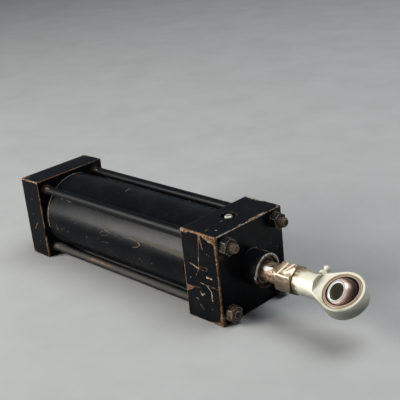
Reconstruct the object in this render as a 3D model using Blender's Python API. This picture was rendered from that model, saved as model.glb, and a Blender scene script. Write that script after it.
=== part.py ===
"""Tie-rod pneumatic cylinder with a swivel rod end.

The origin is the centre of the rear cap's back face. +X runs forward along the
rod, +Z is up and -Y is the near side. The rod is drawn all the way in.
"""
import math

import bmesh
import bpy
from mathutils import Matrix, Vector

MM = 0.001

# Clearances
SEAT_GAP = 0.3 * MM  # between pieces that rest on or in each other
RUNNING_GAP = 0.35 * MM  # between pieces that slide or turn past each other
STOP_GAP = 0.35 * MM  # from the piston to each spigot at the ends of the stroke

# Blocks, tube and stroke
BLOCK_RIM = 6.35 * MM  # from the bore to the blocks' sides
BLOCK_BEVEL = 0.8 * MM
HEAD_DEPTH = 38.1 * MM
CAP_DEPTH = 25.4 * MM
TUBE_BORE = 63.5 * MM
TUBE_WALL = 3.2 * MM
TUBE_END_CHAMFER = 0.8 * MM
STROKE = 152.4 * MM
COLLAR_LENGTH = 3.0 * MM  # the register ring that the tube butts against
SPIGOT_LENGTH = 8.0 * MM  # collar and the turned length inside the tube
SPIGOT_CHAMFER = 0.6 * MM
RING_GROOVE_WIDTH = 2.5 * MM
RING_GROOVE_DEPTH = 2.1 * MM
RING_GROOVE_SHOULDER = 1.3 * MM

# Tie rods and their nuts
TIE_ROD_DIAMETER = 7.9375 * MM
TIE_ROD_GAP = 1.75 * MM  # between a tie rod and the tube
TIE_ROD_TIP = 1.2 * MM
TIE_ROD_LONG_REACH = 12.6 * MM  # past the head's face, at the two top corners
TIE_ROD_FLUSH_REACH = 7.4 * MM  # past the head's face, at the two bottom corners
TIE_ROD_FLOOR = 6.4 * MM  # of the cap, behind the holes that the tie rods screw into
NUT_FLATS = 1.6 * TIE_ROD_DIAMETER
NUT_HEIGHT = 0.85 * TIE_ROD_DIAMETER
NUT_TURN = math.radians(-12.0)  # of the two near nuts, which don't stand square
HEX_CHAMFER_SLOPE = math.tan(math.radians(30.0))
HEX_FACE_INSET = 0.3 * MM  # of the round end face, inside the flats

# Air ports, in the far side of each block
PORT_DIAMETER = 14.7 * MM
PORT_MOUTH_DIAMETER = 17.1 * MM
PORT_MOUTH_DEPTH = 1.2 * MM
PORT_DEPTH = 15.0 * MM
PORT_PASSAGE_DIAMETER = 6.4 * MM
HEAD_PORT_STATION = 21.9 * MM
HEAD_PASSAGE_SHIFT = 2.6 * MM
CAP_PORT_STATION = 12.7 * MM

# Piston, its rings and its nut
PISTON_LENGTH = 22.0 * MM
PISTON_INSET = 0.8 * MM  # the piston's land is this far inside the bore
PISTON_CHAMFER = 0.8 * MM
PISTON_SEAL_WIDTH = 4.5 * MM
PISTON_SEAL_DEPTH = 4.4 * MM
PISTON_SEAL_INSET = 2.2 * MM
WEAR_RING_WIDTH = 4.6 * MM
WEAR_RING_THICKNESS = 1.6 * MM
STUD_RING_WIDTH = 2.4 * MM
STUD_RING_DEPTH = 1.9 * MM
PISTON_NUT_HEIGHT = 9.5 * MM
STUD_PROUD = 1.5 * MM
CAP_RECESS_DIAMETER = 24.0 * MM
CAP_BACK_WALL = 8.0 * MM

# Piston rod and cushion
ROD_DIAMETER = 15.9 * MM
ROD_NECK_DIAMETER = ROD_DIAMETER - 2.7 * MM
STUD_DIAMETER = ROD_DIAMETER - 5.4 * MM
PISTON_NUT_FLATS = STUD_DIAMETER + 7.0 * MM
ROD_CHAMFER = 0.8 * MM
ROD_REACH = 31.3 * MM  # from the head's face to the rod's shoulder, drawn in
ROD_THREAD_DIAMETER = ROD_DIAMETER - 3.2 * MM
SLEEVE_DIAMETER = ROD_DIAMETER + 6.1 * MM
SLEEVE_LENGTH = 20.0 * MM
SLEEVE_TAPER = 1.2 * MM
CHAMBER_CLEARANCE = 0.6 * MM
CHAMBER_SEAL_DEPTH = 2.4 * MM
CHAMBER_SEAL_WIDTH = 3.2 * MM
CHAMBER_SEAL_SHOULDER = 2.6 * MM
CHAMBER_CHAMFER = 0.8 * MM

# Rod gland
GLAND_DIAMETER = ROD_DIAMETER + 12.7 * MM
GLAND_PROUD = 16.0 * MM
GLAND_DEPTH = 19.0 * MM
GLAND_CHAMFER = 0.8 * MM
GLAND_WEB = 1.5 * MM
WEB_CLEARANCE = 0.6 * MM
WIPER_POCKET_DIAMETER = ROD_DIAMETER + 7.1 * MM
WIPER_POCKET_DEPTH = 6.0 * MM
WIPER_WIDTH = 4.4 * MM
WIPER_LIP = 1.0 * MM
ROD_SEAL_WIDTH = 5.0 * MM
ROD_SEAL_DEPTH = 3.8 * MM
ROD_SEAL_STATION = 5.0 * MM
GLAND_RING_STATION = 14.0 * MM
GLAND_RING_WIDTH = 2.6 * MM
GLAND_RING_DEPTH = 2.0 * MM
LIP_SHARE = 0.45  # how deep a lip seal's notch is, as a share of its width

# Cushion needle, in the middle of the head's top
NEEDLE_STATION = 21.9 * MM
NEEDLE_RECESS_DIAMETER = 13.0 * MM
NEEDLE_RECESS_DEPTH = 3.0 * MM
NEEDLE_DIAMETER = 6.4 * MM
NEEDLE_SINK = 0.2 * MM
NEEDLE_SEAT_FLOOR = 4.5 * MM  # from the seat to the cushion chamber
NEEDLE_CONE = 1.8 * MM
NEEDLE_OPENING = 0.8 * MM  # how far the cone stands off its seat
NEEDLE_TIP_DIAMETER = 1.6 * MM
NEEDLE_CHAMFER = 0.4 * MM
NEEDLE_SLOT_WIDTH = 1.1 * MM
NEEDLE_SLOT_DEPTH = 1.2 * MM
NEEDLE_SLOT_TURN = math.radians(45.0)
NEEDLE_RING_STATION = 9.0 * MM
NEEDLE_RING_WIDTH = 1.8 * MM
NEEDLE_RING_DEPTH = 1.3 * MM
ORIFICE_DIAMETER = 2.4 * MM

# Rod end: a hexagon, a neck and an eye with a ball in a race
BALL_DIAMETER = 25.4 * MM
BALL_WIDTH = 0.748 * BALL_DIAMETER
BALL_BORE = 0.5315 * BALL_DIAMETER
BALL_CHAMFER = 0.5 * MM
BALL_SWING = math.radians(20.0)  # of the loose ball, about the rod's axis
BALL_NOD = math.radians(-13.0)  # of the loose ball, across the rod's axis
RACE_OUTER_DIAMETER = BALL_DIAMETER + 4.4 * MM
RACE_WIDTH = 0.6 * BALL_WIDTH
RACE_CHAMFER = 0.4 * MM
EYE_ROLL = math.radians(29.0)  # how far the eye's bore leans from upright, about the rod
EYE_RIM = 2.4 * MM  # of metal round the race's hole
EYE_WIDTH = RACE_WIDTH + 2 * SEAT_GAP
EYE_ROUNDING = 1.2 * MM
EYE_RADIUS = RACE_OUTER_DIAMETER / 2 + SEAT_GAP + EYE_RIM
HEX_FLATS = ROD_THREAD_DIAMETER + 9.5 * MM
HEX_LENGTH = 15.4 * MM
HEX_TURN = math.radians(30.0)  # from a corner on local Z to one on local Y
NECK_DIAMETER = ROD_THREAD_DIAMETER + 7.3 * MM
SPOTFACE_RADIUS = EYE_RADIUS + 5.4 * MM
WEDGE_START = SPOTFACE_RADIUS + 2.0 * MM  # where the flat eye runs into the neck
WEDGE_HALF_WIDTH = NECK_DIAMETER / 2 - 2.0 * MM
SOCKET_DEPTH = HEX_LENGTH + 6.6 * MM
ROD_THREAD_LENGTH = SOCKET_DEPTH - 1.5 * MM
SOCKET_CHAMFER = 1.0 * MM
DRILL_SLOPE = math.tan(math.radians(31.0))  # of the cone that a drill leaves
GREASE_HOLE_DIAMETER = 2.4 * MM
NIPPLE_STATION = SPOTFACE_RADIUS + 3.3 * MM  # behind the eye's centre
EYE_OFFSET = NIPPLE_STATION + 15.5 * MM + HEX_LENGTH  # from the open end to the eye's centre
NIPPLE_THREAD_DIAMETER = 4.6 * MM
NIPPLE_THREAD_LENGTH = 8.0 * MM
NIPPLE_FLATS = 7.0 * MM
NIPPLE_HEX_HEIGHT = 3.0 * MM
NIPPLE_NECK_DIAMETER = 4.0 * MM
NIPPLE_NECK_HEIGHT = 2.0 * MM
NIPPLE_HEAD_DIAMETER = 6.0 * MM
NIPPLE_HEAD_HEIGHT = 3.8 * MM
NIPPLE_HEAD_CONE = 1.4 * MM
NIPPLE_MOUTH_DIAMETER = 1.8 * MM
NIPPLE_LIP = 0.6 * MM

# Numbers of sides and arc steps
TUBE_SIDES = 40
EYE_SIDES = 30
RING_SIDES = 28
ROD_SIDES = 24
SMALL_SIDES = 12
PASSAGE_SIDES = 8
HOLLOW_STEPS = 4
BALL_STEPS = 6
ROUND_SECTION_SIDES = 5
OVERCUT = 2.0 * MM  # how far a cutter runs past the face that it cuts
MERGE_DISTANCE = 0.001 * MM
SHARP_ANGLE = math.radians(28.0)

# Sizes that follow from those above
TUBE_INNER = TUBE_BORE / 2
TUBE_OUTER = TUBE_INNER + TUBE_WALL
SPIGOT_RADIUS = TUBE_INNER - SEAT_GAP
SLIDING_RADIUS = TUBE_INNER - RUNNING_GAP
BLOCK_SIDE = TUBE_BORE + 2 * BLOCK_RIM
TIE_ROD_OFFSET = (TUBE_OUTER + TIE_ROD_GAP + TIE_ROD_DIAMETER / 2) / math.sqrt(2)
BLOCK_SPAN = STROKE + PISTON_LENGTH + 2 * SPIGOT_LENGTH + 2 * STOP_GAP
HEAD_BACK = CAP_DEPTH + BLOCK_SPAN
HEAD_FRONT = HEAD_BACK + HEAD_DEPTH
PISTON_BACK = CAP_DEPTH + SPIGOT_LENGTH + STOP_GAP
HALF_BLOCK = BLOCK_SIDE / 2
GLAND_RADIUS = GLAND_DIAMETER / 2
ROD_RADIUS = ROD_DIAMETER / 2
SLEEVE_RADIUS = SLEEVE_DIAMETER / 2
CHAMBER_START = GLAND_DEPTH + GLAND_WEB
CHAMBER_RADIUS = SLEEVE_RADIUS + CHAMBER_CLEARANCE
NEEDLE_SEAT_DEPTH = HALF_BLOCK - CHAMBER_RADIUS - NEEDLE_SEAT_FLOOR
EYE_CENTRE = ROD_REACH + SEAT_GAP + EYE_OFFSET


def clear_scene():
    for thing in list(bpy.data.objects):
        bpy.data.objects.remove(thing, do_unlink=True)


def make_look(name, colour, roughness, metallic):
    look = bpy.data.materials.new(name)
    look.use_nodes = True
    shader = look.node_tree.nodes["Principled BSDF"]
    shader.inputs["Base Color"].default_value = (*colour, 1.0)
    shader.inputs["Roughness"].default_value = roughness
    shader.inputs["Metallic"].default_value = metallic
    return look


def make_looks():
    return {
        "black_paint": make_look("black_paint", (0.010, 0.012, 0.015), 0.32, 0.0),
        "dark_steel": make_look("dark_steel", (0.055, 0.045, 0.038), 0.50, 0.6),
        "rusty_chrome": make_look("rusty_chrome", (0.42, 0.33, 0.27), 0.25, 1.0),
        "zinc": make_look("zinc", (0.72, 0.69, 0.60), 0.35, 1.0),
        "bronze": make_look("bronze", (0.48, 0.33, 0.26), 0.35, 1.0),
        "bright_steel": make_look("bright_steel", (0.62, 0.61, 0.60), 0.20, 1.0),
        "aluminium": make_look("aluminium", (0.60, 0.60, 0.61), 0.35, 1.0),
        "brass": make_look("brass", (0.62, 0.50, 0.32), 0.30, 1.0),
        "rubber": make_look("rubber", (0.020, 0.020, 0.022), 0.65, 0.0),
        "urethane": make_look("urethane", (0.22, 0.13, 0.06), 0.45, 0.0),
        "bearing_plastic": make_look("bearing_plastic", (0.30, 0.24, 0.17), 0.45, 0.0),
    }


def make_empty(name, parent=None, location=(0, 0, 0), rotation=(0, 0, 0)):
    empty = bpy.data.objects.new(name, None)
    empty.empty_display_size = 10 * MM
    empty.location = location
    empty.rotation_euler = rotation
    empty.parent = parent
    bpy.context.collection.objects.link(empty)
    return empty


def from_bmesh(name, shape):
    bmesh.ops.recalc_face_normals(shape, faces=shape.faces)
    mesh = bpy.data.meshes.new(name)
    shape.to_mesh(mesh)
    shape.free()
    thing = bpy.data.objects.new(name, mesh)
    bpy.context.collection.objects.link(thing)
    return thing


def place(thing, look, parent=None, location=(0, 0, 0)):
    """Gives a finished piece its material, smooth faces, parent and place."""
    thing.data.materials.clear()
    thing.data.materials.append(look)
    thing.data.shade_smooth()
    thing.data.set_sharp_from_angle(angle=SHARP_ANGLE)
    thing.parent = parent
    thing.location = location
    return thing


def combine(body, tool, operation):
    """Joins, cuts or trims a body with a tool, which is used up."""
    modifier = body.modifiers.new(tool.name, "BOOLEAN")
    modifier.operation = operation
    modifier.solver = "EXACT"
    modifier.object = tool
    plain_mesh = body.data
    tool_mesh = tool.data
    evaluated = body.evaluated_get(bpy.context.evaluated_depsgraph_get())
    mesh = bpy.data.meshes.new_from_object(evaluated)
    body.modifiers.clear()
    body.data = mesh
    bpy.data.objects.remove(tool, do_unlink=True)
    bpy.data.meshes.remove(plain_mesh)
    bpy.data.meshes.remove(tool_mesh)


def join(body, *tools):
    for tool in tools:
        combine(body, tool, "UNION")


def cut(body, *tools):
    for tool in tools:
        combine(body, tool, "DIFFERENCE")


def trim(body, tool):
    combine(body, tool, "INTERSECT")


def pointing(direction, at=(0, 0, 0)):
    """The transform that lays local X along a direction, from a point."""
    turn = Vector((1, 0, 0)).rotation_difference(Vector(direction))
    return Matrix.Translation(at) @ turn.to_matrix().to_4x4()


def turned(name, profile, sides, placement=None):
    """A body turned about local X from (station, radius) points.

    A profile that starts and ends on the axis gives a solid. Any other is
    closed into a ring.
    """
    shape = bmesh.new()
    points = [shape.verts.new((station, 0, radius)) for station, radius in profile]
    edges = [shape.edges.new(pair) for pair in zip(points, points[1:])]
    if profile[0][1] > 0:
        edges.append(shape.edges.new((points[-1], points[0])))
    bmesh.ops.spin(shape, geom=points + edges, cent=(0, 0, 0), axis=(1, 0, 0),
                   angle=2 * math.pi, steps=sides, use_merge=True)
    bmesh.ops.remove_doubles(shape, verts=shape.verts, dist=MERGE_DISTANCE)
    if placement:
        shape.transform(placement)
    return from_bmesh(name, shape)


def rod_profile(start, end, radius):
    return [(start, 0), (start, radius), (end, radius), (end, 0)]


def sleeve_profile(start, end, inner, outer):
    return [(start, inner), (start, outer), (end, outer), (end, inner)]


def o_ring_profile(start, end, inner, outer):
    """A round section that fills the space from start to end, inner to outer."""
    middle = (start + end) / 2
    centre = (inner + outer) / 2
    return [
        (middle + (end - start) / 2 * math.cos(turn), centre + (outer - inner) / 2 * math.sin(turn))
        for turn in (2 * math.pi * step / ROUND_SECTION_SIDES for step in range(ROUND_SECTION_SIDES))
    ]


def lip_seal_profile(start, end, inner, outer):
    """A U-shaped section, whose notch opens towards the start."""
    notch = start + (end - start) * LIP_SHARE
    third = (outer - inner) / 3
    return [
        (start, inner), (notch, inner + third), (notch, outer - third),
        (start, outer), (end, outer), (end, inner),
    ]


def arc(centre, radius, start, end, steps):
    """Points of an arc in a plane, as (x, y), with both ends."""
    turns = [start + (end - start) * step / steps for step in range(steps + 1)]
    return [(centre[0] + radius * math.cos(turn), centre[1] + radius * math.sin(turn)) for turn in turns]


def box(name, low, high, bevel=0.0):
    size = Vector(high) - Vector(low)
    middle = (Vector(high) + Vector(low)) / 2
    shape = bmesh.new()
    bmesh.ops.create_cube(shape, size=1, matrix=Matrix.Translation(middle) @ Matrix.Diagonal((*size, 1)))
    if bevel:
        bmesh.ops.bevel(shape, geom=shape.edges[:], offset=bevel, segments=1, affect="EDGES")
    return from_bmesh(name, shape)


def extrude(shape, vector):
    """Draws a flat face out into a prism."""
    grown = bmesh.ops.extrude_face_region(shape, geom=shape.faces[:])
    moved = [item for item in grown["geom"] if isinstance(item, bmesh.types.BMVert)]
    bmesh.ops.translate(shape, vec=vector, verts=moved)


def hexagon(name, flats, start, end, sides):
    """A hexagon along local X with turned chamfers and a corner towards local Z."""
    corner = flats / math.sqrt(3)
    shape = bmesh.new()
    turn = Matrix.Rotation(math.pi / 2, 4, "X") @ Matrix.Rotation(math.pi / 2, 4, "Y")
    bmesh.ops.create_circle(shape, cap_ends=True, radius=corner, segments=6, matrix=turn)
    shape.transform(Matrix.Translation((start - OVERCUT, 0, 0)))
    extrude(shape, (end - start + 2 * OVERCUT, 0, 0))
    body = from_bmesh(name, shape)
    face_radius = flats / 2 - HEX_FACE_INSET
    reach = corner + HEX_FACE_INSET
    run = (reach - face_radius) * HEX_CHAMFER_SLOPE
    lens = [
        (start, 0), (start, face_radius), (start + run, reach), (end - run, reach),
        (end, face_radius), (end, 0),
    ]
    half_step = Matrix.Rotation(math.pi / sides, 4, "X")
    trim(body, turned(name + "_lens", lens, sides, half_step))
    return body


def make_block(name, depth, hole_start):
    """A square block with its spigot, whose outer face is at station 0."""
    body = box(name, (0, -HALF_BLOCK, -HALF_BLOCK), (depth, HALF_BLOCK, HALF_BLOCK), BLOCK_BEVEL)
    collar = depth + COLLAR_LENGTH
    groove = collar + RING_GROOVE_SHOULDER
    groove_radius = SPIGOT_RADIUS - RING_GROOVE_DEPTH
    tip = depth + SPIGOT_LENGTH
    spigot = [
        (depth - OVERCUT, 0), (depth - OVERCUT, TUBE_OUTER), (collar, TUBE_OUTER),
        (collar, SPIGOT_RADIUS), (groove, SPIGOT_RADIUS), (groove, groove_radius),
        (groove + RING_GROOVE_WIDTH, groove_radius), (groove + RING_GROOVE_WIDTH, SPIGOT_RADIUS),
        (tip - SPIGOT_CHAMFER, SPIGOT_RADIUS), (tip, SPIGOT_RADIUS - SPIGOT_CHAMFER), (tip, 0),
    ]
    join(body, turned(name + "_spigot", spigot, TUBE_SIDES))
    for y in (-TIE_ROD_OFFSET, TIE_ROD_OFFSET):
        for z in (-TIE_ROD_OFFSET, TIE_ROD_OFFSET):
            hole = rod_profile(hole_start, depth + OVERCUT, TIE_ROD_DIAMETER / 2 + SEAT_GAP)
            cut(body, turned(name + "_hole", hole, SMALL_SIDES, Matrix.Translation((0, y, z))))
    return body


def cut_port(body, station, side, passage_shift, chamber_radius):
    """Cuts an air port into one side of a block, and its passage to the chamber."""
    radius = PORT_DIAMETER / 2
    mouth = PORT_MOUTH_DIAMETER / 2
    port = [
        (-OVERCUT, 0), (-OVERCUT, mouth), (0, mouth), (PORT_MOUTH_DEPTH, radius),
        (PORT_DEPTH, radius), (PORT_DEPTH, 0),
    ]
    inward = (0, -side, 0)
    face = side * HALF_BLOCK
    cut(body, turned("port", port, ROD_SIDES, pointing(inward, (station, face, 0))))
    passage = rod_profile(PORT_DEPTH - OVERCUT, HALF_BLOCK - chamber_radius / 2, PORT_PASSAGE_DIAMETER / 2)
    start = (station + passage_shift, face, 0)
    cut(body, turned("passage", passage, PASSAGE_SIDES, pointing(inward, start)))


def make_tube_seal(name, depth, parent, look):
    """The O-ring in the groove of a block's spigot."""
    groove = depth + COLLAR_LENGTH + RING_GROOVE_SHOULDER
    profile = o_ring_profile(
        groove + SEAT_GAP, groove + RING_GROOVE_WIDTH - SEAT_GAP,
        SPIGOT_RADIUS - RING_GROOVE_DEPTH + SEAT_GAP, SPIGOT_RADIUS,
    )
    place(turned(name, profile, RING_SIDES), look, parent)


def chamber_seal_start():
    """Where the cushion seal's groove starts, behind the head's face."""
    return HEAD_DEPTH + SPIGOT_LENGTH - CHAMBER_SEAL_SHOULDER - CHAMBER_SEAL_WIDTH


def make_head(parent, looks):
    body = make_block("head", HEAD_DEPTH, -OVERCUT)
    pocket = GLAND_RADIUS + SEAT_GAP
    web = ROD_RADIUS + WEB_CLEARANCE
    end = HEAD_DEPTH + SPIGOT_LENGTH
    seal = chamber_seal_start()
    seal_radius = CHAMBER_RADIUS + CHAMBER_SEAL_DEPTH
    bore = [
        (-OVERCUT, 0), (-OVERCUT, pocket), (GLAND_DEPTH, pocket), (GLAND_DEPTH, web),
        (CHAMBER_START, web), (CHAMBER_START, CHAMBER_RADIUS), (seal, CHAMBER_RADIUS),
        (seal, seal_radius), (seal + CHAMBER_SEAL_WIDTH, seal_radius),
        (seal + CHAMBER_SEAL_WIDTH, CHAMBER_RADIUS), (end - CHAMBER_CHAMFER, CHAMBER_RADIUS),
        (end + OVERCUT, CHAMBER_RADIUS + CHAMBER_CHAMFER + OVERCUT), (end + OVERCUT, 0),
    ]
    cut(body, turned("head_bore", bore, RING_SIDES))
    cut_port(body, HEAD_PORT_STATION, -1, HEAD_PASSAGE_SHIFT, CHAMBER_RADIUS)
    hole = NEEDLE_DIAMETER / 2 + SEAT_GAP
    recess = NEEDLE_RECESS_DIAMETER / 2
    needle_hole = [
        (-OVERCUT, 0), (-OVERCUT, recess), (NEEDLE_RECESS_DEPTH, recess), (NEEDLE_RECESS_DEPTH, hole),
        (NEEDLE_SEAT_DEPTH, hole), (NEEDLE_SEAT_DEPTH + NEEDLE_CONE, ORIFICE_DIAMETER / 2),
        (HALF_BLOCK - CHAMBER_RADIUS / 2, ORIFICE_DIAMETER / 2), (HALF_BLOCK - CHAMBER_RADIUS / 2, 0),
    ]
    cut(body, turned("needle_hole", needle_hole, SMALL_SIDES,
                     pointing((0, 0, -1), (NEEDLE_STATION, 0, HALF_BLOCK))))
    place(body, looks["black_paint"], parent)
    make_tube_seal("front_tube_seal", HEAD_DEPTH, parent, looks["rubber"])
    cushion_seal = lip_seal_profile(
        seal + SEAT_GAP, seal + CHAMBER_SEAL_WIDTH - SEAT_GAP,
        SLEEVE_RADIUS + RUNNING_GAP, seal_radius - SEAT_GAP,
    )
    place(turned("cushion_seal", cushion_seal, ROD_SIDES), looks["urethane"], parent)


def make_cap(parent, looks):
    body = make_block("rear_cap", CAP_DEPTH, TIE_ROD_FLOOR)
    recess = rod_profile(CAP_BACK_WALL, CAP_DEPTH + SPIGOT_LENGTH + OVERCUT, CAP_RECESS_DIAMETER / 2)
    cut(body, turned("cap_recess", recess, ROD_SIDES))
    cut_port(body, CAP_PORT_STATION, 1, 0.0, CAP_RECESS_DIAMETER / 2)
    place(body, looks["black_paint"], parent)
    make_tube_seal("rear_tube_seal", CAP_DEPTH, parent, looks["rubber"])


def make_tube(looks):
    start = CAP_DEPTH + COLLAR_LENGTH + SEAT_GAP
    end = HEAD_BACK - COLLAR_LENGTH - SEAT_GAP
    profile = [
        (start, TUBE_INNER), (start, TUBE_OUTER - TUBE_END_CHAMFER), (start + TUBE_END_CHAMFER, TUBE_OUTER),
        (end - TUBE_END_CHAMFER, TUBE_OUTER), (end, TUBE_OUTER - TUBE_END_CHAMFER), (end, TUBE_INNER),
    ]
    place(turned("tube", profile, TUBE_SIDES), looks["black_paint"])


def make_nut(name, flats, height, bore_diameter):
    """A nut that stands on station 0."""
    body = hexagon(name, flats, 0, height, SMALL_SIDES)
    bore = rod_profile(-OVERCUT, height + OVERCUT, bore_diameter / 2 + SEAT_GAP)
    cut(body, turned(name + "_bore", bore, SMALL_SIDES))
    return body


def make_tie_rods(looks):
    nut = make_nut("tie_rod_nut", NUT_FLATS, NUT_HEIGHT, TIE_ROD_DIAMETER)
    nut_mesh = nut.data
    bpy.data.objects.remove(nut, do_unlink=True)
    radius = TIE_ROD_DIAMETER / 2
    corners = {
        "top_near": (-TIE_ROD_OFFSET, TIE_ROD_OFFSET, TIE_ROD_LONG_REACH, NUT_TURN),
        "top_far": (TIE_ROD_OFFSET, TIE_ROD_OFFSET, TIE_ROD_LONG_REACH, 0),
        "bottom_near": (-TIE_ROD_OFFSET, -TIE_ROD_OFFSET, TIE_ROD_FLUSH_REACH, NUT_TURN),
        "bottom_far": (TIE_ROD_OFFSET, -TIE_ROD_OFFSET, TIE_ROD_FLUSH_REACH, 0),
    }
    for corner, (y, z, reach, turn) in corners.items():
        start = TIE_ROD_FLOOR + SEAT_GAP
        end = HEAD_FRONT + reach
        profile = [
            (start, 0), (start, radius - TIE_ROD_TIP), (start + TIE_ROD_TIP, radius),
            (end - TIE_ROD_TIP, radius), (end, radius - TIE_ROD_TIP), (end, 0),
        ]
        rod = turned("tie_rod_" + corner, profile, SMALL_SIDES)
        place(rod, looks["black_paint"], None, (0, y, z))
        nut = bpy.data.objects.new("front_nut_" + corner, nut_mesh)
        bpy.context.collection.objects.link(nut)
        place(nut, looks["dark_steel"], None, (HEAD_FRONT + SEAT_GAP, y, z))
        nut.rotation_euler.x = turn


def make_gland(parent, looks):
    """The rod gland with its wiper, rod seal and O-ring, at stations behind the head's face."""
    front = -GLAND_PROUD
    back = GLAND_DEPTH - SEAT_GAP
    bore = ROD_RADIUS + RUNNING_GAP
    pocket = WIPER_POCKET_DIAMETER / 2
    pocket_end = front + WIPER_POCKET_DEPTH
    seal_end = ROD_SEAL_STATION + ROD_SEAL_WIDTH
    seal_radius = bore + ROD_SEAL_DEPTH
    ring_end = GLAND_RING_STATION + GLAND_RING_WIDTH
    ring_radius = GLAND_RADIUS - GLAND_RING_DEPTH
    profile = [
        (front, pocket), (front, GLAND_RADIUS - GLAND_CHAMFER), (front + GLAND_CHAMFER, GLAND_RADIUS),
        (GLAND_RING_STATION, GLAND_RADIUS), (GLAND_RING_STATION, ring_radius), (ring_end, ring_radius),
        (ring_end, GLAND_RADIUS), (back, GLAND_RADIUS), (back, bore), (seal_end, bore),
        (seal_end, seal_radius), (ROD_SEAL_STATION, seal_radius), (ROD_SEAL_STATION, bore),
        (pocket_end, bore), (pocket_end, pocket),
    ]
    place(turned("rod_gland", profile, ROD_SIDES), looks["black_paint"], parent)
    wiper_end = pocket_end - SEAT_GAP
    wiper_start = wiper_end - WIPER_WIDTH
    wiper = [
        (wiper_start, bore), (wiper_start + WIPER_LIP, bore + WIPER_LIP),
        (wiper_start + WIPER_LIP, pocket - SEAT_GAP), (wiper_end, pocket - SEAT_GAP), (wiper_end, bore),
    ]
    place(turned("rod_wiper", wiper, ROD_SIDES), looks["urethane"], parent)
    rod_seal = lip_seal_profile(
        seal_end - SEAT_GAP, ROD_SEAL_STATION + SEAT_GAP, bore, seal_radius - SEAT_GAP,
    )
    place(turned("rod_seal", rod_seal, ROD_SIDES), looks["rubber"], parent)
    gland_ring = o_ring_profile(
        GLAND_RING_STATION + SEAT_GAP, ring_end - SEAT_GAP, ring_radius + SEAT_GAP, GLAND_RADIUS,
    )
    place(turned("gland_o_ring", gland_ring, ROD_SIDES), looks["rubber"], parent)


def make_needle(parent, looks):
    """The cushion needle, turned about its own axis, from the head's top downwards."""
    radius = NEEDLE_DIAMETER / 2
    cone_end = NEEDLE_SEAT_DEPTH + NEEDLE_CONE - NEEDLE_OPENING - SEAT_GAP
    groove_end = NEEDLE_RING_STATION + NEEDLE_RING_WIDTH
    groove_radius = radius - NEEDLE_RING_DEPTH
    profile = [
        (NEEDLE_SINK, 0), (NEEDLE_SINK, radius - NEEDLE_CHAMFER), (NEEDLE_SINK + NEEDLE_CHAMFER, radius),
        (NEEDLE_RING_STATION, radius), (NEEDLE_RING_STATION, groove_radius), (groove_end, groove_radius),
        (groove_end, radius), (cone_end - NEEDLE_CONE, radius), (cone_end, NEEDLE_TIP_DIAMETER / 2),
        (cone_end, 0),
    ]
    down = pointing((0, 0, -1))
    body = turned("cushion_needle", profile, SMALL_SIDES, down)
    half_slot = NEEDLE_SLOT_WIDTH / 2
    slot_start = (-NEEDLE_DIAMETER, -half_slot, -NEEDLE_SINK - NEEDLE_SLOT_DEPTH)
    slot = box("needle_slot", slot_start, (NEEDLE_DIAMETER, half_slot, OVERCUT))
    slot.data.transform(Matrix.Rotation(NEEDLE_SLOT_TURN, 4, "Z"))
    cut(body, slot)
    place(body, looks["brass"], parent)
    ring = o_ring_profile(
        NEEDLE_RING_STATION + SEAT_GAP, groove_end - SEAT_GAP, groove_radius + SEAT_GAP, radius,
    )
    place(turned("needle_o_ring", ring, SMALL_SIDES, down), looks["rubber"], parent)


def piston_grooves():
    """Start and end of the rear seal's, the wear ring's and the front seal's groove."""
    wear_start = (PISTON_LENGTH - WEAR_RING_WIDTH) / 2
    front_end = PISTON_LENGTH - PISTON_SEAL_INSET
    return (
        (PISTON_SEAL_INSET, PISTON_SEAL_INSET + PISTON_SEAL_WIDTH),
        (wear_start, wear_start + WEAR_RING_WIDTH),
        (front_end - PISTON_SEAL_WIDTH, front_end),
    )


def make_piston(parent, looks):
    land = TUBE_INNER - PISTON_INSET
    seal_floor = SLIDING_RADIUS - PISTON_SEAL_DEPTH
    wear_floor = SLIDING_RADIUS - WEAR_RING_THICKNESS - SEAT_GAP
    bore = STUD_DIAMETER / 2 + SEAT_GAP
    ring_start = (PISTON_LENGTH - STUD_RING_WIDTH) / 2
    ring_end = ring_start + STUD_RING_WIDTH
    ring_floor = bore + STUD_RING_DEPTH
    profile = [(0, bore), (0, land - PISTON_CHAMFER), (PISTON_CHAMFER, land)]
    for (start, end), floor in zip(piston_grooves(), (seal_floor, wear_floor, seal_floor)):
        profile += [(start, land), (start, floor), (end, floor), (end, land)]
    profile += [
        (PISTON_LENGTH - PISTON_CHAMFER, land), (PISTON_LENGTH, land - PISTON_CHAMFER),
        (PISTON_LENGTH, bore), (ring_end, bore), (ring_end, ring_floor), (ring_start, ring_floor),
        (ring_start, bore),
    ]
    place(turned("piston", profile, RING_SIDES), looks["aluminium"], parent)
    stud_ring = o_ring_profile(ring_start + SEAT_GAP, ring_end - SEAT_GAP, bore, ring_floor - SEAT_GAP)
    place(turned("stud_o_ring", stud_ring, SMALL_SIDES), looks["rubber"], parent)
    nut = make_nut("piston_nut", PISTON_NUT_FLATS, PISTON_NUT_HEIGHT, STUD_DIAMETER)
    place(nut, looks["dark_steel"], parent, (-SEAT_GAP - PISTON_NUT_HEIGHT, 0, 0))


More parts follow.
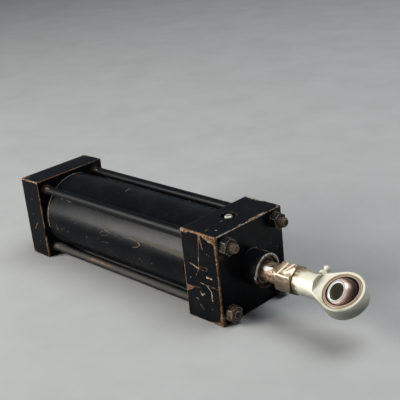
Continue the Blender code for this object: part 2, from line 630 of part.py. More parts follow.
def make_piston_rings(parent, looks):
    """The seals and the wear ring, which slide with the piston but don't turn with it."""
    rear, wear, front = piston_grooves()
    seal_inner = SLIDING_RADIUS - PISTON_SEAL_DEPTH + SEAT_GAP
    rear_seal = lip_seal_profile(rear[0] + SEAT_GAP, rear[1] - SEAT_GAP, seal_inner, SLIDING_RADIUS)
    place(turned("rear_piston_seal", rear_seal, RING_SIDES), looks["rubber"], parent)
    front_seal = lip_seal_profile(front[1] - SEAT_GAP, front[0] + SEAT_GAP, seal_inner, SLIDING_RADIUS)
    place(turned("front_piston_seal", front_seal, RING_SIDES), looks["rubber"], parent)
    ring = sleeve_profile(
        wear[0] + SEAT_GAP, wear[1] - SEAT_GAP, SLIDING_RADIUS - WEAR_RING_THICKNESS, SLIDING_RADIUS,
    )
    place(turned("wear_ring", ring, RING_SIDES), looks["bearing_plastic"], parent)


def make_rod(parent, looks):
    """The piston rod and the cushion sleeve, at stations from the piston's back face."""
    stud = STUD_DIAMETER / 2
    neck = ROD_NECK_DIAMETER / 2
    thread = ROD_THREAD_DIAMETER / 2
    stud_start = -SEAT_GAP - PISTON_NUT_HEIGHT - STUD_PROUD
    neck_start = PISTON_LENGTH + SEAT_GAP
    neck_end = neck_start + SLEEVE_LENGTH + SEAT_GAP
    shoulder = HEAD_FRONT + ROD_REACH - PISTON_BACK
    thread_end = shoulder + ROD_THREAD_LENGTH
    profile = [
        (stud_start, 0), (stud_start, stud - ROD_CHAMFER), (stud_start + ROD_CHAMFER, stud),
        (neck_start, stud), (neck_start, neck), (neck_end, neck), (neck_end, ROD_RADIUS),
        (shoulder - ROD_CHAMFER, ROD_RADIUS), (shoulder, ROD_RADIUS - ROD_CHAMFER), (shoulder, thread),
        (thread_end - ROD_CHAMFER, thread), (thread_end, thread - ROD_CHAMFER), (thread_end, 0),
    ]
    place(turned("piston_rod", profile, ROD_SIDES), looks["rusty_chrome"], parent)
    sleeve_end = neck_start + SLEEVE_LENGTH
    sleeve = [
        (neck_start, neck + SEAT_GAP), (neck_start, SLEEVE_RADIUS),
        (sleeve_end - SLEEVE_TAPER * 2, SLEEVE_RADIUS), (sleeve_end, SLEEVE_RADIUS - SLEEVE_TAPER),
        (sleeve_end, neck + SEAT_GAP),
    ]
    place(turned("cushion_sleeve", sleeve, ROD_SIDES), looks["bright_steel"], parent)


def eye_outline():
    """The flat eye seen along its bore: a round end whose tangents run in to the neck."""
    reach = math.hypot(WEDGE_START, WEDGE_HALF_WIDTH)
    tangent = math.pi - math.atan2(WEDGE_HALF_WIDTH, WEDGE_START) - math.acos(EYE_RADIUS / reach)
    points = arc((0, 0), EYE_RADIUS, -tangent, tangent, EYE_SIDES)
    return points + [(-WEDGE_START, WEDGE_HALF_WIDTH), (-WEDGE_START, -WEDGE_HALF_WIDTH)]


def make_eye_plate():
    shape = bmesh.new()
    outline = [shape.verts.new((x, y, -EYE_WIDTH / 2)) for x, y in eye_outline()]
    shape.faces.new(outline)
    extrude(shape, (0, 0, EYE_WIDTH))
    rims = [edge for edge in shape.edges if abs(edge.verts[0].co.z - edge.verts[1].co.z) < MERGE_DISTANCE]
    bmesh.ops.bevel(shape, geom=rims, offset=EYE_ROUNDING, segments=2, profile=0.5, affect="EDGES")
    return from_bmesh("rod_end_body", shape)


def make_rod_end_body(parent, looks):
    """The female rod end, whose local X is the rod's axis and local Z the eye's bore."""
    neck = NECK_DIAMETER / 2
    hex_end = -EYE_OFFSET + HEX_LENGTH
    body = turned("rod_end_body", rod_profile(hex_end - OVERCUT, -EYE_RADIUS + OVERCUT, neck), EYE_SIDES)
    for side in (1, -1):
        face = side * EYE_WIDTH / 2
        spotface = rod_profile(0, NECK_DIAMETER, SPOTFACE_RADIUS)
        cut(body, turned("spotface", spotface, TUBE_SIDES, pointing((0, 0, side), (0, 0, face))))
    grip = hexagon("rod_end_hex", HEX_FLATS, -EYE_OFFSET, hex_end, ROD_SIDES)
    grip.data.transform(Matrix.Rotation(HEX_TURN, 4, "X"))
    join(body, make_eye_plate(), grip)
    upright = pointing((0, 0, 1))
    race_hole = rod_profile(-EYE_WIDTH, EYE_WIDTH, RACE_OUTER_DIAMETER / 2 + SEAT_GAP)
    cut(body, turned("race_hole", race_hole, EYE_SIDES, upright))
    socket = ROD_THREAD_DIAMETER / 2 + SEAT_GAP
    socket_end = -EYE_OFFSET + SOCKET_DEPTH
    socket_hole = [
        (-EYE_OFFSET - OVERCUT, 0), (-EYE_OFFSET - OVERCUT, socket + SOCKET_CHAMFER + OVERCUT),
        (-EYE_OFFSET + SOCKET_CHAMFER, socket), (socket_end, socket), (socket_end + socket * DRILL_SLOPE, 0),
    ]
    cut(body, turned("socket_hole", socket_hole, ROD_SIDES))
    nipple_radius = NIPPLE_THREAD_DIAMETER / 2 + SEAT_GAP
    nipple_hole = rod_profile(-GREASE_HOLE_DIAMETER / 2, neck + OVERCUT, nipple_radius)
    cut(body, turned("nipple_hole", nipple_hole, SMALL_SIDES, pointing((0, 1, 0), (-NIPPLE_STATION, 0, 0))))
    passage = rod_profile(-NIPPLE_STATION, -RACE_OUTER_DIAMETER / 2 + OVERCUT, GREASE_HOLE_DIAMETER / 2)
    cut(body, turned("grease_passage", passage, PASSAGE_SIDES))
    place(body, looks["zinc"], parent)


def make_race(parent, looks):
    """The pressed ring round the ball, with the grease hole through it."""
    half = RACE_WIDTH / 2
    outer = RACE_OUTER_DIAMETER / 2
    hollow = BALL_DIAMETER / 2 + SEAT_GAP
    sweep = math.asin((half - RACE_CHAMFER) / hollow)
    inside = arc((0, 0), hollow, math.pi / 2 - sweep, math.pi / 2 + sweep, HOLLOW_STEPS)
    mouth = inside[0][1]
    profile = inside + [
        (-half, mouth), (-half, outer - RACE_CHAMFER), (-half + RACE_CHAMFER, outer),
        (half - RACE_CHAMFER, outer), (half, outer - RACE_CHAMFER), (half, mouth),
    ]
    body = turned("rod_end_race", profile, EYE_SIDES, pointing((0, 0, 1)))
    hole = rod_profile(-outer - OVERCUT, -hollow + OVERCUT, GREASE_HOLE_DIAMETER / 2)
    cut(body, turned("race_grease_hole", hole, PASSAGE_SIDES))
    place(body, looks["bronze"], parent)


def make_ball(parent, looks):
    half = BALL_WIDTH / 2
    radius = BALL_DIAMETER / 2
    bore = BALL_BORE / 2
    sweep = math.asin(half / radius)
    outside = arc((0, 0), radius, math.pi / 2 + sweep, math.pi / 2 - sweep, BALL_STEPS)
    profile = outside + [
        (half, bore + BALL_CHAMFER), (half - BALL_CHAMFER, bore),
        (-half + BALL_CHAMFER, bore), (-half, bore + BALL_CHAMFER),
    ]
    place(turned("rod_end_ball", profile, EYE_SIDES, pointing((0, 0, 1))), looks["bright_steel"], parent)


def make_nipple(parent, looks):
    """The grease nipple, which stands on the neck along local Y."""
    thread = NIPPLE_THREAD_DIAMETER / 2
    throat = NIPPLE_NECK_DIAMETER / 2
    head = NIPPLE_HEAD_DIAMETER / 2
    seat = NECK_DIAMETER / 2 + SEAT_GAP
    hex_top = seat + NIPPLE_HEX_HEIGHT
    neck_top = hex_top + NIPPLE_NECK_HEIGHT
    top = neck_top + NIPPLE_HEAD_HEIGHT
    mouth = NIPPLE_MOUTH_DIAMETER / 2
    profile = [
        (seat - NIPPLE_THREAD_LENGTH, 0), (seat - NIPPLE_THREAD_LENGTH, thread),
        (seat + OVERCUT / 2, thread), (seat + OVERCUT / 2, throat), (neck_top, throat),
        (neck_top + head - throat, head),
        (top - NIPPLE_HEAD_CONE, head), (top, mouth + NIPPLE_LIP), (top, mouth), (top - mouth, 0),
    ]
    body = hexagon("grease_nipple", NIPPLE_FLATS, seat, hex_top, SMALL_SIDES)
    join(body, turned("nipple_stem", profile, SMALL_SIDES))
    body.data.transform(pointing((0, 1, 0), (-NIPPLE_STATION, 0, 0)))
    place(body, looks["zinc"], parent)


def build():
    clear_scene()
    looks = make_looks()
    cap_frame = make_empty("cap_frame")
    head_frame = make_empty("head_frame", None, (HEAD_FRONT, 0, 0), (0, 0, math.pi))
    needle_frame = make_empty("needle_frame", head_frame, (NEEDLE_STATION, 0, HALF_BLOCK))
    ring_frame = make_empty("piston_ring_frame", None, (PISTON_BACK, 0, 0))
    rod_frame = make_empty("rod_frame", ring_frame)
    eye_station = HEAD_FRONT + EYE_CENTRE - PISTON_BACK
    eye_frame = make_empty("eye_frame", rod_frame, (eye_station, 0, 0), (EYE_ROLL, 0, 0))
    swing_frame = make_empty("ball_swing_frame", eye_frame, (0, 0, 0), (BALL_SWING, 0, 0))
    ball_frame = make_empty("ball_frame", swing_frame, (0, 0, 0), (0, BALL_NOD, 0))
    make_cap(cap_frame, looks)
    make_head(head_frame, looks)
    make_tube(looks)
    make_tie_rods(looks)
    make_gland(head_frame, looks)
    make_needle(needle_frame, looks)
    make_piston_rings(ring_frame, looks)
    make_piston(rod_frame, looks)
    make_rod(rod_frame, looks)
    make_rod_end_body(eye_frame, looks)
    make_race(eye_frame, looks)
    make_nipple(eye_frame, looks)
    make_ball(ball_frame, looks)


build()
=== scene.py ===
"""The pneumatic cylinder dressed for its photograph.

Everything is in metres in the part's own frame: the origin is the centre of the
rear cap's back face, +X runs along the rod, +Z is up and -Y is the near side.
"""
import math

import bmesh
import bpy
import numpy as np
from mathutils import Matrix, Vector


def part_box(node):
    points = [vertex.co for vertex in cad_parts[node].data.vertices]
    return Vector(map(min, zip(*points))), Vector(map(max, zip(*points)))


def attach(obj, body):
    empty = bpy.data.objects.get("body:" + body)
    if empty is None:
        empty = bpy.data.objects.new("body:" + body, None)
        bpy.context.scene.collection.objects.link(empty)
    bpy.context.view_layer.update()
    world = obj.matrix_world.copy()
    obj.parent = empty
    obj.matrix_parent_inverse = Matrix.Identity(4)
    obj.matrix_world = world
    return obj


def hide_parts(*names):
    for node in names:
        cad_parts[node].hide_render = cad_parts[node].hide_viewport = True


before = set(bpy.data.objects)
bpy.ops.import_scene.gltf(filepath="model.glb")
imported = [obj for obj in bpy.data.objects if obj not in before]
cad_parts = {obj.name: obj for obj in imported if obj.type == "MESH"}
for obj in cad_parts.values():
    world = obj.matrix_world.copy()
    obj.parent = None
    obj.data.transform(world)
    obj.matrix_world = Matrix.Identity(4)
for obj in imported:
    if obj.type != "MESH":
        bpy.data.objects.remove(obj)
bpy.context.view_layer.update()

MM = 0.001

# Clearances, as in the solids
SEAT_GAP = 0.3 * MM
RUNNING_GAP = 0.35 * MM
STOP_GAP = 0.35 * MM

# Blocks and tube
HEAD_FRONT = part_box("head")[1][0]
HALF_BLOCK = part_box("head")[1][2]
HEAD_DEPTH = 38.1 * MM
HEAD_BACK = HEAD_FRONT - HEAD_DEPTH
CAP_DEPTH = 25.4 * MM
BLOCK_BEVEL = 0.8 * MM
TUBE_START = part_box("tube")[0][0]
TUBE_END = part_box("tube")[1][0]
TUBE_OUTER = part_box("tube")[1][2]
PAINT_COAT = 0.2 * MM  # on the tube and the tie rods, which closes the slit between them
TUBE_PAINTED = TUBE_OUTER + PAINT_COAT
TUBE_WALL = 3.2 * MM
TUBE_INNER = TUBE_OUTER - TUBE_WALL
TUBE_END_CHAMFER = 0.8 * MM
TUBE_RING_STEP = 3.0 * MM  # between the rings of points along the tube
COLLAR_LENGTH = 3.0 * MM
SPIGOT_LENGTH = 8.0 * MM
SPIGOT_CHAMFER = 0.6 * MM
SPIGOT_RADIUS = TUBE_INNER - SEAT_GAP
RING_GROOVE_WIDTH = 2.5 * MM
RING_GROOVE_DEPTH = 2.1 * MM
RING_GROOVE_SHOULDER = 1.3 * MM

# Tie rods and nuts
TIE_ROD_RADIUS = 3.96875 * MM
TIE_ROD_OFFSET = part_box("tie_rod_top_far")[1][2] - TIE_ROD_RADIUS
TIE_ROD_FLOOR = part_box("tie_rod_top_far")[0][0] - SEAT_GAP
TIE_ROD_PLACES = [
    (y, z) for y in (-TIE_ROD_OFFSET, TIE_ROD_OFFSET) for z in (-TIE_ROD_OFFSET, TIE_ROD_OFFSET)
]
TIE_ROD_TIP = 1.1 * MM
TIE_ROD_PITCH = 1.06 * MM
THREAD_DEPTH = 0.55 * MM
THREAD_START = 6.0 * MM  # of a tie rod's thread, behind the head's face
THREAD_STEPS = 6  # rings of points to a turn of a thread
THREAD_ROUNDING = 0.9
NUT_FLATS = 3.2 * TIE_ROD_RADIUS
NUT_HEIGHT = 1.7 * TIE_ROD_RADIUS
NUT_TURN = math.radians(-12.0)  # of the two near nuts, which don't stand square
NUT_MOUTH = 0.4 * MM
NUT_EDGE = 0.2 * MM
HEX_CHAMFER_SLOPE = math.tan(math.radians(30.0))
HEX_FACE_INSET = 0.3 * MM

# Air ports
PORT_RADIUS = 7.35 * MM
PORT_MOUTH_RADIUS = 8.55 * MM
PORT_MOUTH_DEPTH = 1.2 * MM
PORT_DEPTH = 15.0 * MM
PORT_PITCH = 1.41 * MM
PORT_THREAD_LENGTH = 11.3 * MM
PORT_THREAD_DEPTH = 0.75 * MM
PORT_CREST = (0.45, 0.55)  # as shares of the pitch
PORT_FLOOR_INSET = 0.4 * MM
PORT_PASSAGE_RADIUS = 3.2 * MM
HEAD_PORT_STATION = 21.9 * MM
HEAD_PASSAGE_SHIFT = 2.6 * MM
CAP_PORT_STATION = 12.7 * MM
CAP_RECESS_RADIUS = 12.0 * MM
CAP_BACK_WALL = 8.0 * MM

# Gland, wiper and piston rod
ROD_RADIUS = 7.95 * MM
ROD_CHAMFER = 0.8 * MM
GLAND_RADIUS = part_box("rod_gland")[1][2]
GLAND_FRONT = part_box("rod_gland")[1][0]
GLAND_DEPTH = 19.0 * MM
GLAND_CHAMFER = 0.8 * MM
GLAND_WEB = 1.5 * MM
WEB_CLEARANCE = 0.6 * MM
WIPER_POCKET_RADIUS = 11.5 * MM
WIPER_POCKET_DEPTH = 6.0 * MM
WIPER_WIDTH = 4.4 * MM
WIPER_LIP = 1.0 * MM
ROD_SEAL_WIDTH = 5.0 * MM
ROD_SEAL_DEPTH = 3.8 * MM
ROD_SEAL_STATION = 5.0 * MM
GLAND_RING_STATION = 14.0 * MM
GLAND_RING_WIDTH = 2.6 * MM
GLAND_RING_DEPTH = 2.0 * MM
CHAMBER_RADIUS = 11.6 * MM
CHAMBER_SEAL_DEPTH = 2.4 * MM
CHAMBER_SEAL_WIDTH = 3.2 * MM
CHAMBER_SEAL_SHOULDER = 2.6 * MM
ROD_NECK_RADIUS = 6.6 * MM
ROD_THREAD_RADIUS = 6.35 * MM
ROD_THREAD_LENGTH = 20.5 * MM
ROD_THREAD_PITCH = 1.27 * MM
STUD_RADIUS = 5.25 * MM
PISTON_BACK = CAP_DEPTH + SPIGOT_LENGTH + STOP_GAP
PISTON_LENGTH = 22.0 * MM
PISTON_NUT_HEIGHT = 9.5 * MM
STUD_PROUD = 1.5 * MM
SLEEVE_LENGTH = 20.0 * MM
ROD_SHOULDER = HEAD_FRONT + 31.3 * MM

# Cushion needle
NEEDLE_STATION = HEAD_FRONT - 21.9 * MM
NEEDLE_RADIUS = 3.2 * MM
NEEDLE_RECESS_RADIUS = 6.5 * MM
NEEDLE_RECESS_DEPTH = 3.0 * MM
NEEDLE_RECESS_RIM = 0.35 * MM
NEEDLE_SINK = 0.2 * MM
NEEDLE_SEAT_DEPTH = 22.0 * MM
NEEDLE_CONE = 1.8 * MM
NEEDLE_OPENING = 0.8 * MM
NEEDLE_TIP_RADIUS = 0.8 * MM
NEEDLE_CHAMFER = 0.4 * MM
NEEDLE_SLOT_WIDTH = 1.1 * MM
NEEDLE_SLOT_DEPTH = 1.2 * MM
NEEDLE_SLOT_TURN = math.radians(45.0)
NEEDLE_RING_STATION = 9.0 * MM
NEEDLE_RING_WIDTH = 1.8 * MM
NEEDLE_RING_DEPTH = 1.3 * MM
ORIFICE_RADIUS = 1.2 * MM

# Rod end
EYE_ROLL = math.radians(29.0)
BALL_SWING = math.radians(20.0)
BALL_NOD = math.radians(-13.0)
BALL_RADIUS = 12.7 * MM
BALL_HALF_WIDTH = 9.5 * MM
BALL_BORE_RADIUS = 6.75 * MM
BALL_CHAMFER = 0.5 * MM
RACE_WALL = 2.2 * MM
RACE_RADIUS = BALL_RADIUS + RACE_WALL
RACE_HALF_WIDTH = 5.7 * MM
RACE_CHAMFER = 0.4 * MM
RACE_FACE_RING = 1.6 * MM  # from the race's mouth to the ring of points in its face
EYE_RIM = 2.4 * MM  # of metal round the race's hole
EYE_RADIUS = RACE_RADIUS + SEAT_GAP + EYE_RIM
EYE_MOUTH = 0.35 * MM
EYE_HALF_WIDTH = RACE_HALF_WIDTH + SEAT_GAP
EYE_ROUNDING = 1.2 * MM
EYE_LINE = 0.25 * MM  # the dark line round the race's hole
HEX_FLATS = 22.2 * MM
HEX_LENGTH = 15.4 * MM
HEX_TURN = math.radians(30.0)
END_NECK_RADIUS = 10.0 * MM
SPOTFACE_RADIUS = EYE_RADIUS + 5.4 * MM
WEDGE_START = SPOTFACE_RADIUS + 2.0 * MM
WEDGE_HALF_WIDTH = END_NECK_RADIUS - 2.0 * MM
SOCKET_DEPTH = 22.0 * MM
SOCKET_CHAMFER = 1.0 * MM
DRILL_SLOPE = math.tan(math.radians(31.0))
NIPPLE_STATION = SPOTFACE_RADIUS + 3.3 * MM
EYE_OFFSET = NIPPLE_STATION + 15.5 * MM + HEX_LENGTH
GREASE_HOLE_RADIUS = 1.2 * MM
NIPPLE_THREAD_RADIUS = 2.3 * MM
NIPPLE_THREAD_LENGTH = 8.0 * MM
NIPPLE_FLATS = 7.0 * MM
NIPPLE_HEX_HEIGHT = 3.0 * MM
NIPPLE_THROAT_RADIUS = 2.0 * MM
NIPPLE_NECK_HEIGHT = 2.0 * MM
NIPPLE_HEAD_RADIUS = 3.0 * MM
NIPPLE_HEAD_HEIGHT = 3.8 * MM
NIPPLE_HEAD_CONE = 1.4 * MM
NIPPLE_MOUTH_RADIUS = 0.9 * MM
NIPPLE_LIP = 0.6 * MM
EYE_STATION = ROD_SHOULDER + SEAT_GAP + EYE_OFFSET

# Fineness of the meshes, which are split near the marks so that their outlines can be stored
WIDE_SIDES = 144
ROUND_SIDES = 96
SMALL_SIDES = 48
OVERCUT = 2.0 * MM
MERGE_DISTANCE = 0.001 * MM
SHARP_ANGLE = math.radians(28.0)
END_SLOPE = math.cos(math.radians(20.0))
REFINE_PASSES = 14
FINEST_EDGE = 0.42 * MM
FINE_SHARE = 0.6  # of a mark's width, for the edges in it
SPLIT_RATIO = 1.4
EDGE_GROWTH = 1.5  # of an edge with its distance from a mark's outline
MARK_BAND = 0.6 * MM
COARSEST_EDGE = 9.0 * MM
FIELD_LIMIT = 5.0 * MM

EYE_FRAME = Matrix.Translation((EYE_STATION, 0, 0)) @ Matrix.Rotation(EYE_ROLL, 4, "X")
BALL_FRAME = EYE_FRAME @ Matrix.Rotation(BALL_SWING, 4, "X") @ Matrix.Rotation(BALL_NOD, 4, "Y")


# Mesh helpers


def link_mesh(name, mesh):
    thing = bpy.data.objects.new(name, mesh)
    bpy.context.collection.objects.link(thing)
    return thing


def from_bmesh(name, shape):
    """An object from a shape, whose faces point outwards where it is closed."""
    bmesh.ops.recalc_face_normals(shape, faces=shape.faces)
    closed = all(edge.is_manifold for edge in shape.edges)
    if closed and shape.calc_volume(signed=True) < 0:
        bmesh.ops.reverse_faces(shape, faces=shape.faces)
    mesh = bpy.data.meshes.new(name)
    shape.to_mesh(mesh)
    shape.free()
    return link_mesh(name, mesh)


def pointing(direction, at=(0, 0, 0)):
    """The transform that lays local X along a direction, from a point."""
    turn = Vector((1, 0, 0)).rotation_difference(Vector(direction))
    return Matrix.Translation(at) @ turn.to_matrix().to_4x4()


def ring_faces(rows, closed):
    """Faces between rows of vertex numbers, each row a full turn."""
    pairs = list(zip(rows, rows[1:]))
    if closed:
        pairs.append((rows[-1], rows[0]))
    faces = []
    for low, high in pairs:
        for step in range(len(low)):
            after = (step + 1) % len(low)
            corners = [low[step], low[after], high[after], high[step]]
            faces.append(list(dict.fromkeys(corners)))
    return faces


def turned(name, profile, sides, placement=None):
    """A body turned about local X from (station, radius) points.

    A profile that starts and ends on the axis gives a solid. Any other is
    closed into a ring.
    """
    vertices = []
    rows = []
    for station, radius in profile:
        first = len(vertices)
        if radius > 0:
            rows.append(list(range(first, first + sides)))
            turns = [2 * math.pi * step / sides for step in range(sides)]
            vertices += [(station, radius * math.sin(turn), radius * math.cos(turn)) for turn in turns]
        else:
            rows.append([first] * sides)
            vertices.append((station, 0, 0))
    mesh = bpy.data.meshes.new(name)
    mesh.from_pydata(vertices, [], ring_faces(rows, profile[0][1] > 0))
    shape = bmesh.new()
    shape.from_mesh(mesh)
    bpy.data.meshes.remove(mesh)
    if placement:
        shape.transform(placement)
    return from_bmesh(name, shape)


def threaded(name, sections, sides, placement=None):
    """A shank about local X that may carry threads.

    Each section is (start, end, radius, pitch, depth). A pitch of 0 is plain.
    The shank's two ends are closed.
    """
    rings = []
    for start, end, radius, pitch, depth in sections:
        steps = max(2, round((end - start) / pitch * THREAD_STEPS)) if pitch else 2
        for step in range(steps + 1):
            station = start + (end - start) * step / steps
            turns = np.arange(sides) / sides
            if pitch:
                phase = np.mod((station - start) / pitch + turns, 1.0)
                fade = min(1.0, step / THREAD_STEPS, (steps - step) / (THREAD_STEPS / 2))
                radii = radius - depth * fade * (1 - np.abs(2 * phase - 1)) ** THREAD_ROUNDING
            else:
                radii = np.full(sides, radius)
            rings.append([
                (station, size * math.sin(2 * math.pi * turn), size * math.cos(2 * math.pi * turn))
                for size, turn in zip(radii, turns)
            ])
    vertices = [point for ring in rings for point in ring]
    rows = [list(range(index * sides, (index + 1) * sides)) for index in range(len(rings))]
    faces = ring_faces(rows, False) + [rows[0], rows[-1]]
    mesh = bpy.data.meshes.new(name)
    mesh.from_pydata(vertices, [], faces)
    shape = bmesh.new()
    shape.from_mesh(mesh)
    bpy.data.meshes.remove(mesh)
    bmesh.ops.remove_doubles(shape, verts=shape.verts, dist=MERGE_DISTANCE)
    if placement:
        shape.transform(placement)
    return from_bmesh(name, shape)


def rod_profile(start, end, radius):
    return [(start, 0), (start, radius), (end, radius), (end, 0)]


def rounded(points, radius, steps=3):
    """A profile whose inner corners are rounded."""
    result = [points[0]]
    for before, corner, after in zip(points, points[1:], points[2:]):
        here = Vector(corner)
        back = Vector(before) - here
        ahead = Vector(after) - here
        reach = min(radius, back.length * 0.45, ahead.length * 0.45)
        if reach < 0.02 * MM or back.angle(ahead, math.pi) > math.radians(175):
            result.append(corner)
            continue
        start = here + back.normalized() * reach
        end = here + ahead.normalized() * reach
        for step in range(steps + 1):
            share = step / steps
            point = start.lerp(here, share).lerp(here.lerp(end, share), share)
            result.append((point.x, point.y))
    result.append(points[-1])
    return result


def arc(centre, radius, start, end, steps):
    turns = [start + (end - start) * step / steps for step in range(steps + 1)]
    return [(centre[0] + radius * math.cos(turn), centre[1] + radius * math.sin(turn)) for turn in turns]


def box(name, low, high, bevel=0.0):
    size = Vector(high) - Vector(low)
    middle = (Vector(high) + Vector(low)) / 2
    shape = bmesh.new()
    bmesh.ops.create_cube(shape, size=1, matrix=Matrix.Translation(middle) @ Matrix.Diagonal((*size, 1)))
    if bevel:
        bmesh.ops.bevel(shape, geom=shape.edges[:], offset=bevel, segments=3, profile=0.5, affect="EDGES")
    return from_bmesh(name, shape)


def extrude(shape, vector):
    grown = bmesh.ops.extrude_face_region(shape, geom=shape.faces[:])
    moved = [item for item in grown["geom"] if isinstance(item, bmesh.types.BMVert)]
    bmesh.ops.translate(shape, vec=vector, verts=moved)


def combine(body, tool, operation):
    """Joins, cuts or trims a body with a tool, which is used up."""
    modifier = body.modifiers.new(tool.name, "BOOLEAN")
    modifier.operation = operation
    modifier.solver = "EXACT"
    modifier.object = tool
    plain_mesh = body.data
    tool_mesh = tool.data
    evaluated = body.evaluated_get(bpy.context.evaluated_depsgraph_get())
    mesh = bpy.data.meshes.new_from_object(evaluated)
    body.modifiers.clear()
    body.data = mesh
    bpy.data.objects.remove(tool, do_unlink=True)
    bpy.data.meshes.remove(plain_mesh)
    bpy.data.meshes.remove(tool_mesh)


def join(body, *tools):
    for tool in tools:
        combine(body, tool, "UNION")


def cut(body, *tools):
    for tool in tools:
        combine(body, tool, "DIFFERENCE")


def hexagon(name, flats, start, end, sides):
    """A hexagon along local X with turned chamfers and a corner towards local Z."""
    corner = flats / math.sqrt(3)
    shape = bmesh.new()
    turn = Matrix.Rotation(math.pi / 2, 4, "X") @ Matrix.Rotation(math.pi / 2, 4, "Y")
    bmesh.ops.create_circle(shape, cap_ends=True, radius=corner, segments=6, matrix=turn)
    shape.transform(Matrix.Translation((start - OVERCUT, 0, 0)))
    extrude(shape, (end - start + 2 * OVERCUT, 0, 0))
    lengthwise = [edge for edge in shape.edges if abs(edge.verts[0].co.x - edge.verts[1].co.x) > OVERCUT]
    bmesh.ops.bevel(shape, geom=lengthwise, offset=NUT_EDGE, segments=2, profile=0.5, affect="EDGES")
    body = from_bmesh(name, shape)
    face_radius = flats / 2 - HEX_FACE_INSET
    reach = corner + HEX_FACE_INSET
    run = (reach - face_radius) * HEX_CHAMFER_SLOPE
    lens = [
        (start, 0), (start, face_radius), (start + run, reach), (end - run, reach),
        (end, face_radius), (end, 0),
    ]
    combine(body, turned(name + "_lens", lens, sides, Matrix.Rotation(math.pi / sides, 4, "X")), "INTERSECT")
    return body


# Wear fields, which on some pieces carry painted light and shade
#
# A mark is a run of points with a radius and a tone. It becomes tapered capsules,
# and a piece stores how far each vertex lies inside them.


def capsules(marks):
    """Rows of start, end, start radius, end radius and tone from marks of (tone, points)."""
    rows = []
    for tone, points in marks:
        run = points if len(points) > 1 else [points[0], points[0]]
        for first, second in zip(run, run[1:]):
            rows.append((*first[:3], *second[:3], first[3], second[3], tone))
    return np.array(rows, dtype=float).reshape(-1, 9)


def depth_in(points, rows):
    """How deep each point lies in the nearest capsule, negative outside, its tone and its radius."""
    depth = np.full(len(points), -1.0)
    tone = np.zeros(len(points))
    width = np.zeros(len(points))
    for row in rows:
        start = row[0:3]
        along = row[3:6] - start
        square = max(float(along @ along), 1e-12)
        share = np.clip((points - start) @ along / square, 0.0, 1.0)
        away = np.linalg.norm(points - start - share[:, None] * along, axis=1)
        inside = row[6] + (row[7] - row[6]) * share - away
        deeper = inside > depth
        depth[deeper] = inside[deeper]
        tone[deeper] = row[8]
        width[deeper] = max(row[6], row[7])
    return depth, tone, width


def vertex_places(mesh):
    places = np.empty(len(mesh.vertices) * 3)
    mesh.vertices.foreach_get("co", places)
    return places.reshape(-1, 3)


def places_in(placement, mesh):
    """A mesh's vertices in a placement's own frame."""
    return np.array([placement.inverted() @ Vector(place) for place in vertex_places(mesh)])


def split_triangles(places, corners, edge_of, middle_of):
    """Splits each triangle at the middles of its marked edges, so that no gap opens."""
    marked = middle_of[edge_of] >= 0
    count = marked.sum(axis=1)
    result = [corners[count == 0]]
    for wanted in (1, 2, 3):
        chosen = np.nonzero(count == wanted)[0]
        if len(chosen) == 0:
            continue
        flags = marked[chosen]
        if wanted == 1:
            first = np.argmax(flags, axis=1)
        elif wanted == 2:
            first = (np.argmin(flags, axis=1) + 1) % 3
        else:
            first = np.zeros(len(chosen), dtype=int)
        order = (first[:, None] + np.arange(3)) % 3
        a, b, c = np.take_along_axis(corners[chosen], order, axis=1).T
        m, n, p = middle_of[np.take_along_axis(edge_of[chosen], order, axis=1)].T
        if wanted == 1:
            result += [np.stack((a, m, c), axis=1), np.stack((m, b, c), axis=1)]
        elif wanted == 2:
            result.append(np.stack((m, b, n), axis=1))
            to_far_corner = np.linalg.norm(places[a] - places[n], axis=1)
            across = to_far_corner < np.linalg.norm(places[m] - places[c], axis=1)
            result.append(np.stack((a, m, np.where(across, n, c)), axis=1))
            result.append(np.stack((np.where(across, a, m), n, c), axis=1))
        else:
            result += [np.stack((a, m, p), axis=1), np.stack((m, b, n), axis=1)]
            result += [np.stack((p, n, c), axis=1), np.stack((m, n, p), axis=1)]
    return np.concatenate(result)


def refine(piece, rows):
    """Splits a piece's edges near the marks, so that their outlines can be stored."""
    shape = bmesh.new()
    shape.from_mesh(piece.data)
    bmesh.ops.triangulate(shape, faces=shape.faces[:])
    places = np.array([vertex.co for vertex in shape.verts])
    corners = np.array([[vertex.index for vertex in face.verts] for face in shape.faces])
    shape.free()
    settled = np.zeros(0, dtype=np.int64)
    for _ in range(REFINE_PASSES):
        pairs = np.sort(corners[:, [[0, 1], [1, 2], [2, 0]]], axis=2).astype(np.int64)
        keys, edge_of = np.unique(pairs[:, :, 0] << 32 | pairs[:, :, 1], return_inverse=True)
        edge_of = edge_of.reshape(-1, 3)
        ends = np.stack((keys >> 32, keys & 0xFFFFFFFF), axis=1)
        length = np.linalg.norm(places[ends[:, 0]] - places[ends[:, 1]], axis=1)
        open_edges = np.nonzero((length > FINEST_EDGE * SPLIT_RATIO) & ~np.isin(keys, settled))[0]
        middle = places[ends[open_edges]].mean(axis=1)
        depth, _, width = depth_in(middle, rows)
        fine = np.clip(width * FINE_SHARE, FINEST_EDGE, 3 * FINEST_EDGE)
        allowed = np.clip(fine + EDGE_GROWTH * (np.abs(depth) - MARK_BAND), fine, COARSEST_EDGE)
        long_ones = length[open_edges] > allowed * SPLIT_RATIO
        settled = np.union1d(settled, keys[open_edges[~long_ones]])
        if not long_ones.any():
            break
        middle_of = np.full(len(keys), -1)
        middle_of[open_edges[long_ones]] = len(places) + np.arange(long_ones.sum())
        places = np.concatenate((places, middle[long_ones]))
        corners = split_triangles(places, corners, edge_of, middle_of)
    piece.data.clear_geometry()
    piece.data.from_pydata(places.tolist(), [], corners.tolist())


def store(mesh, name, values):
    attribute = mesh.attributes.new(name, "FLOAT", "POINT")
    attribute.data.foreach_set("value", np.ascontiguousarray(values, dtype=np.float32))


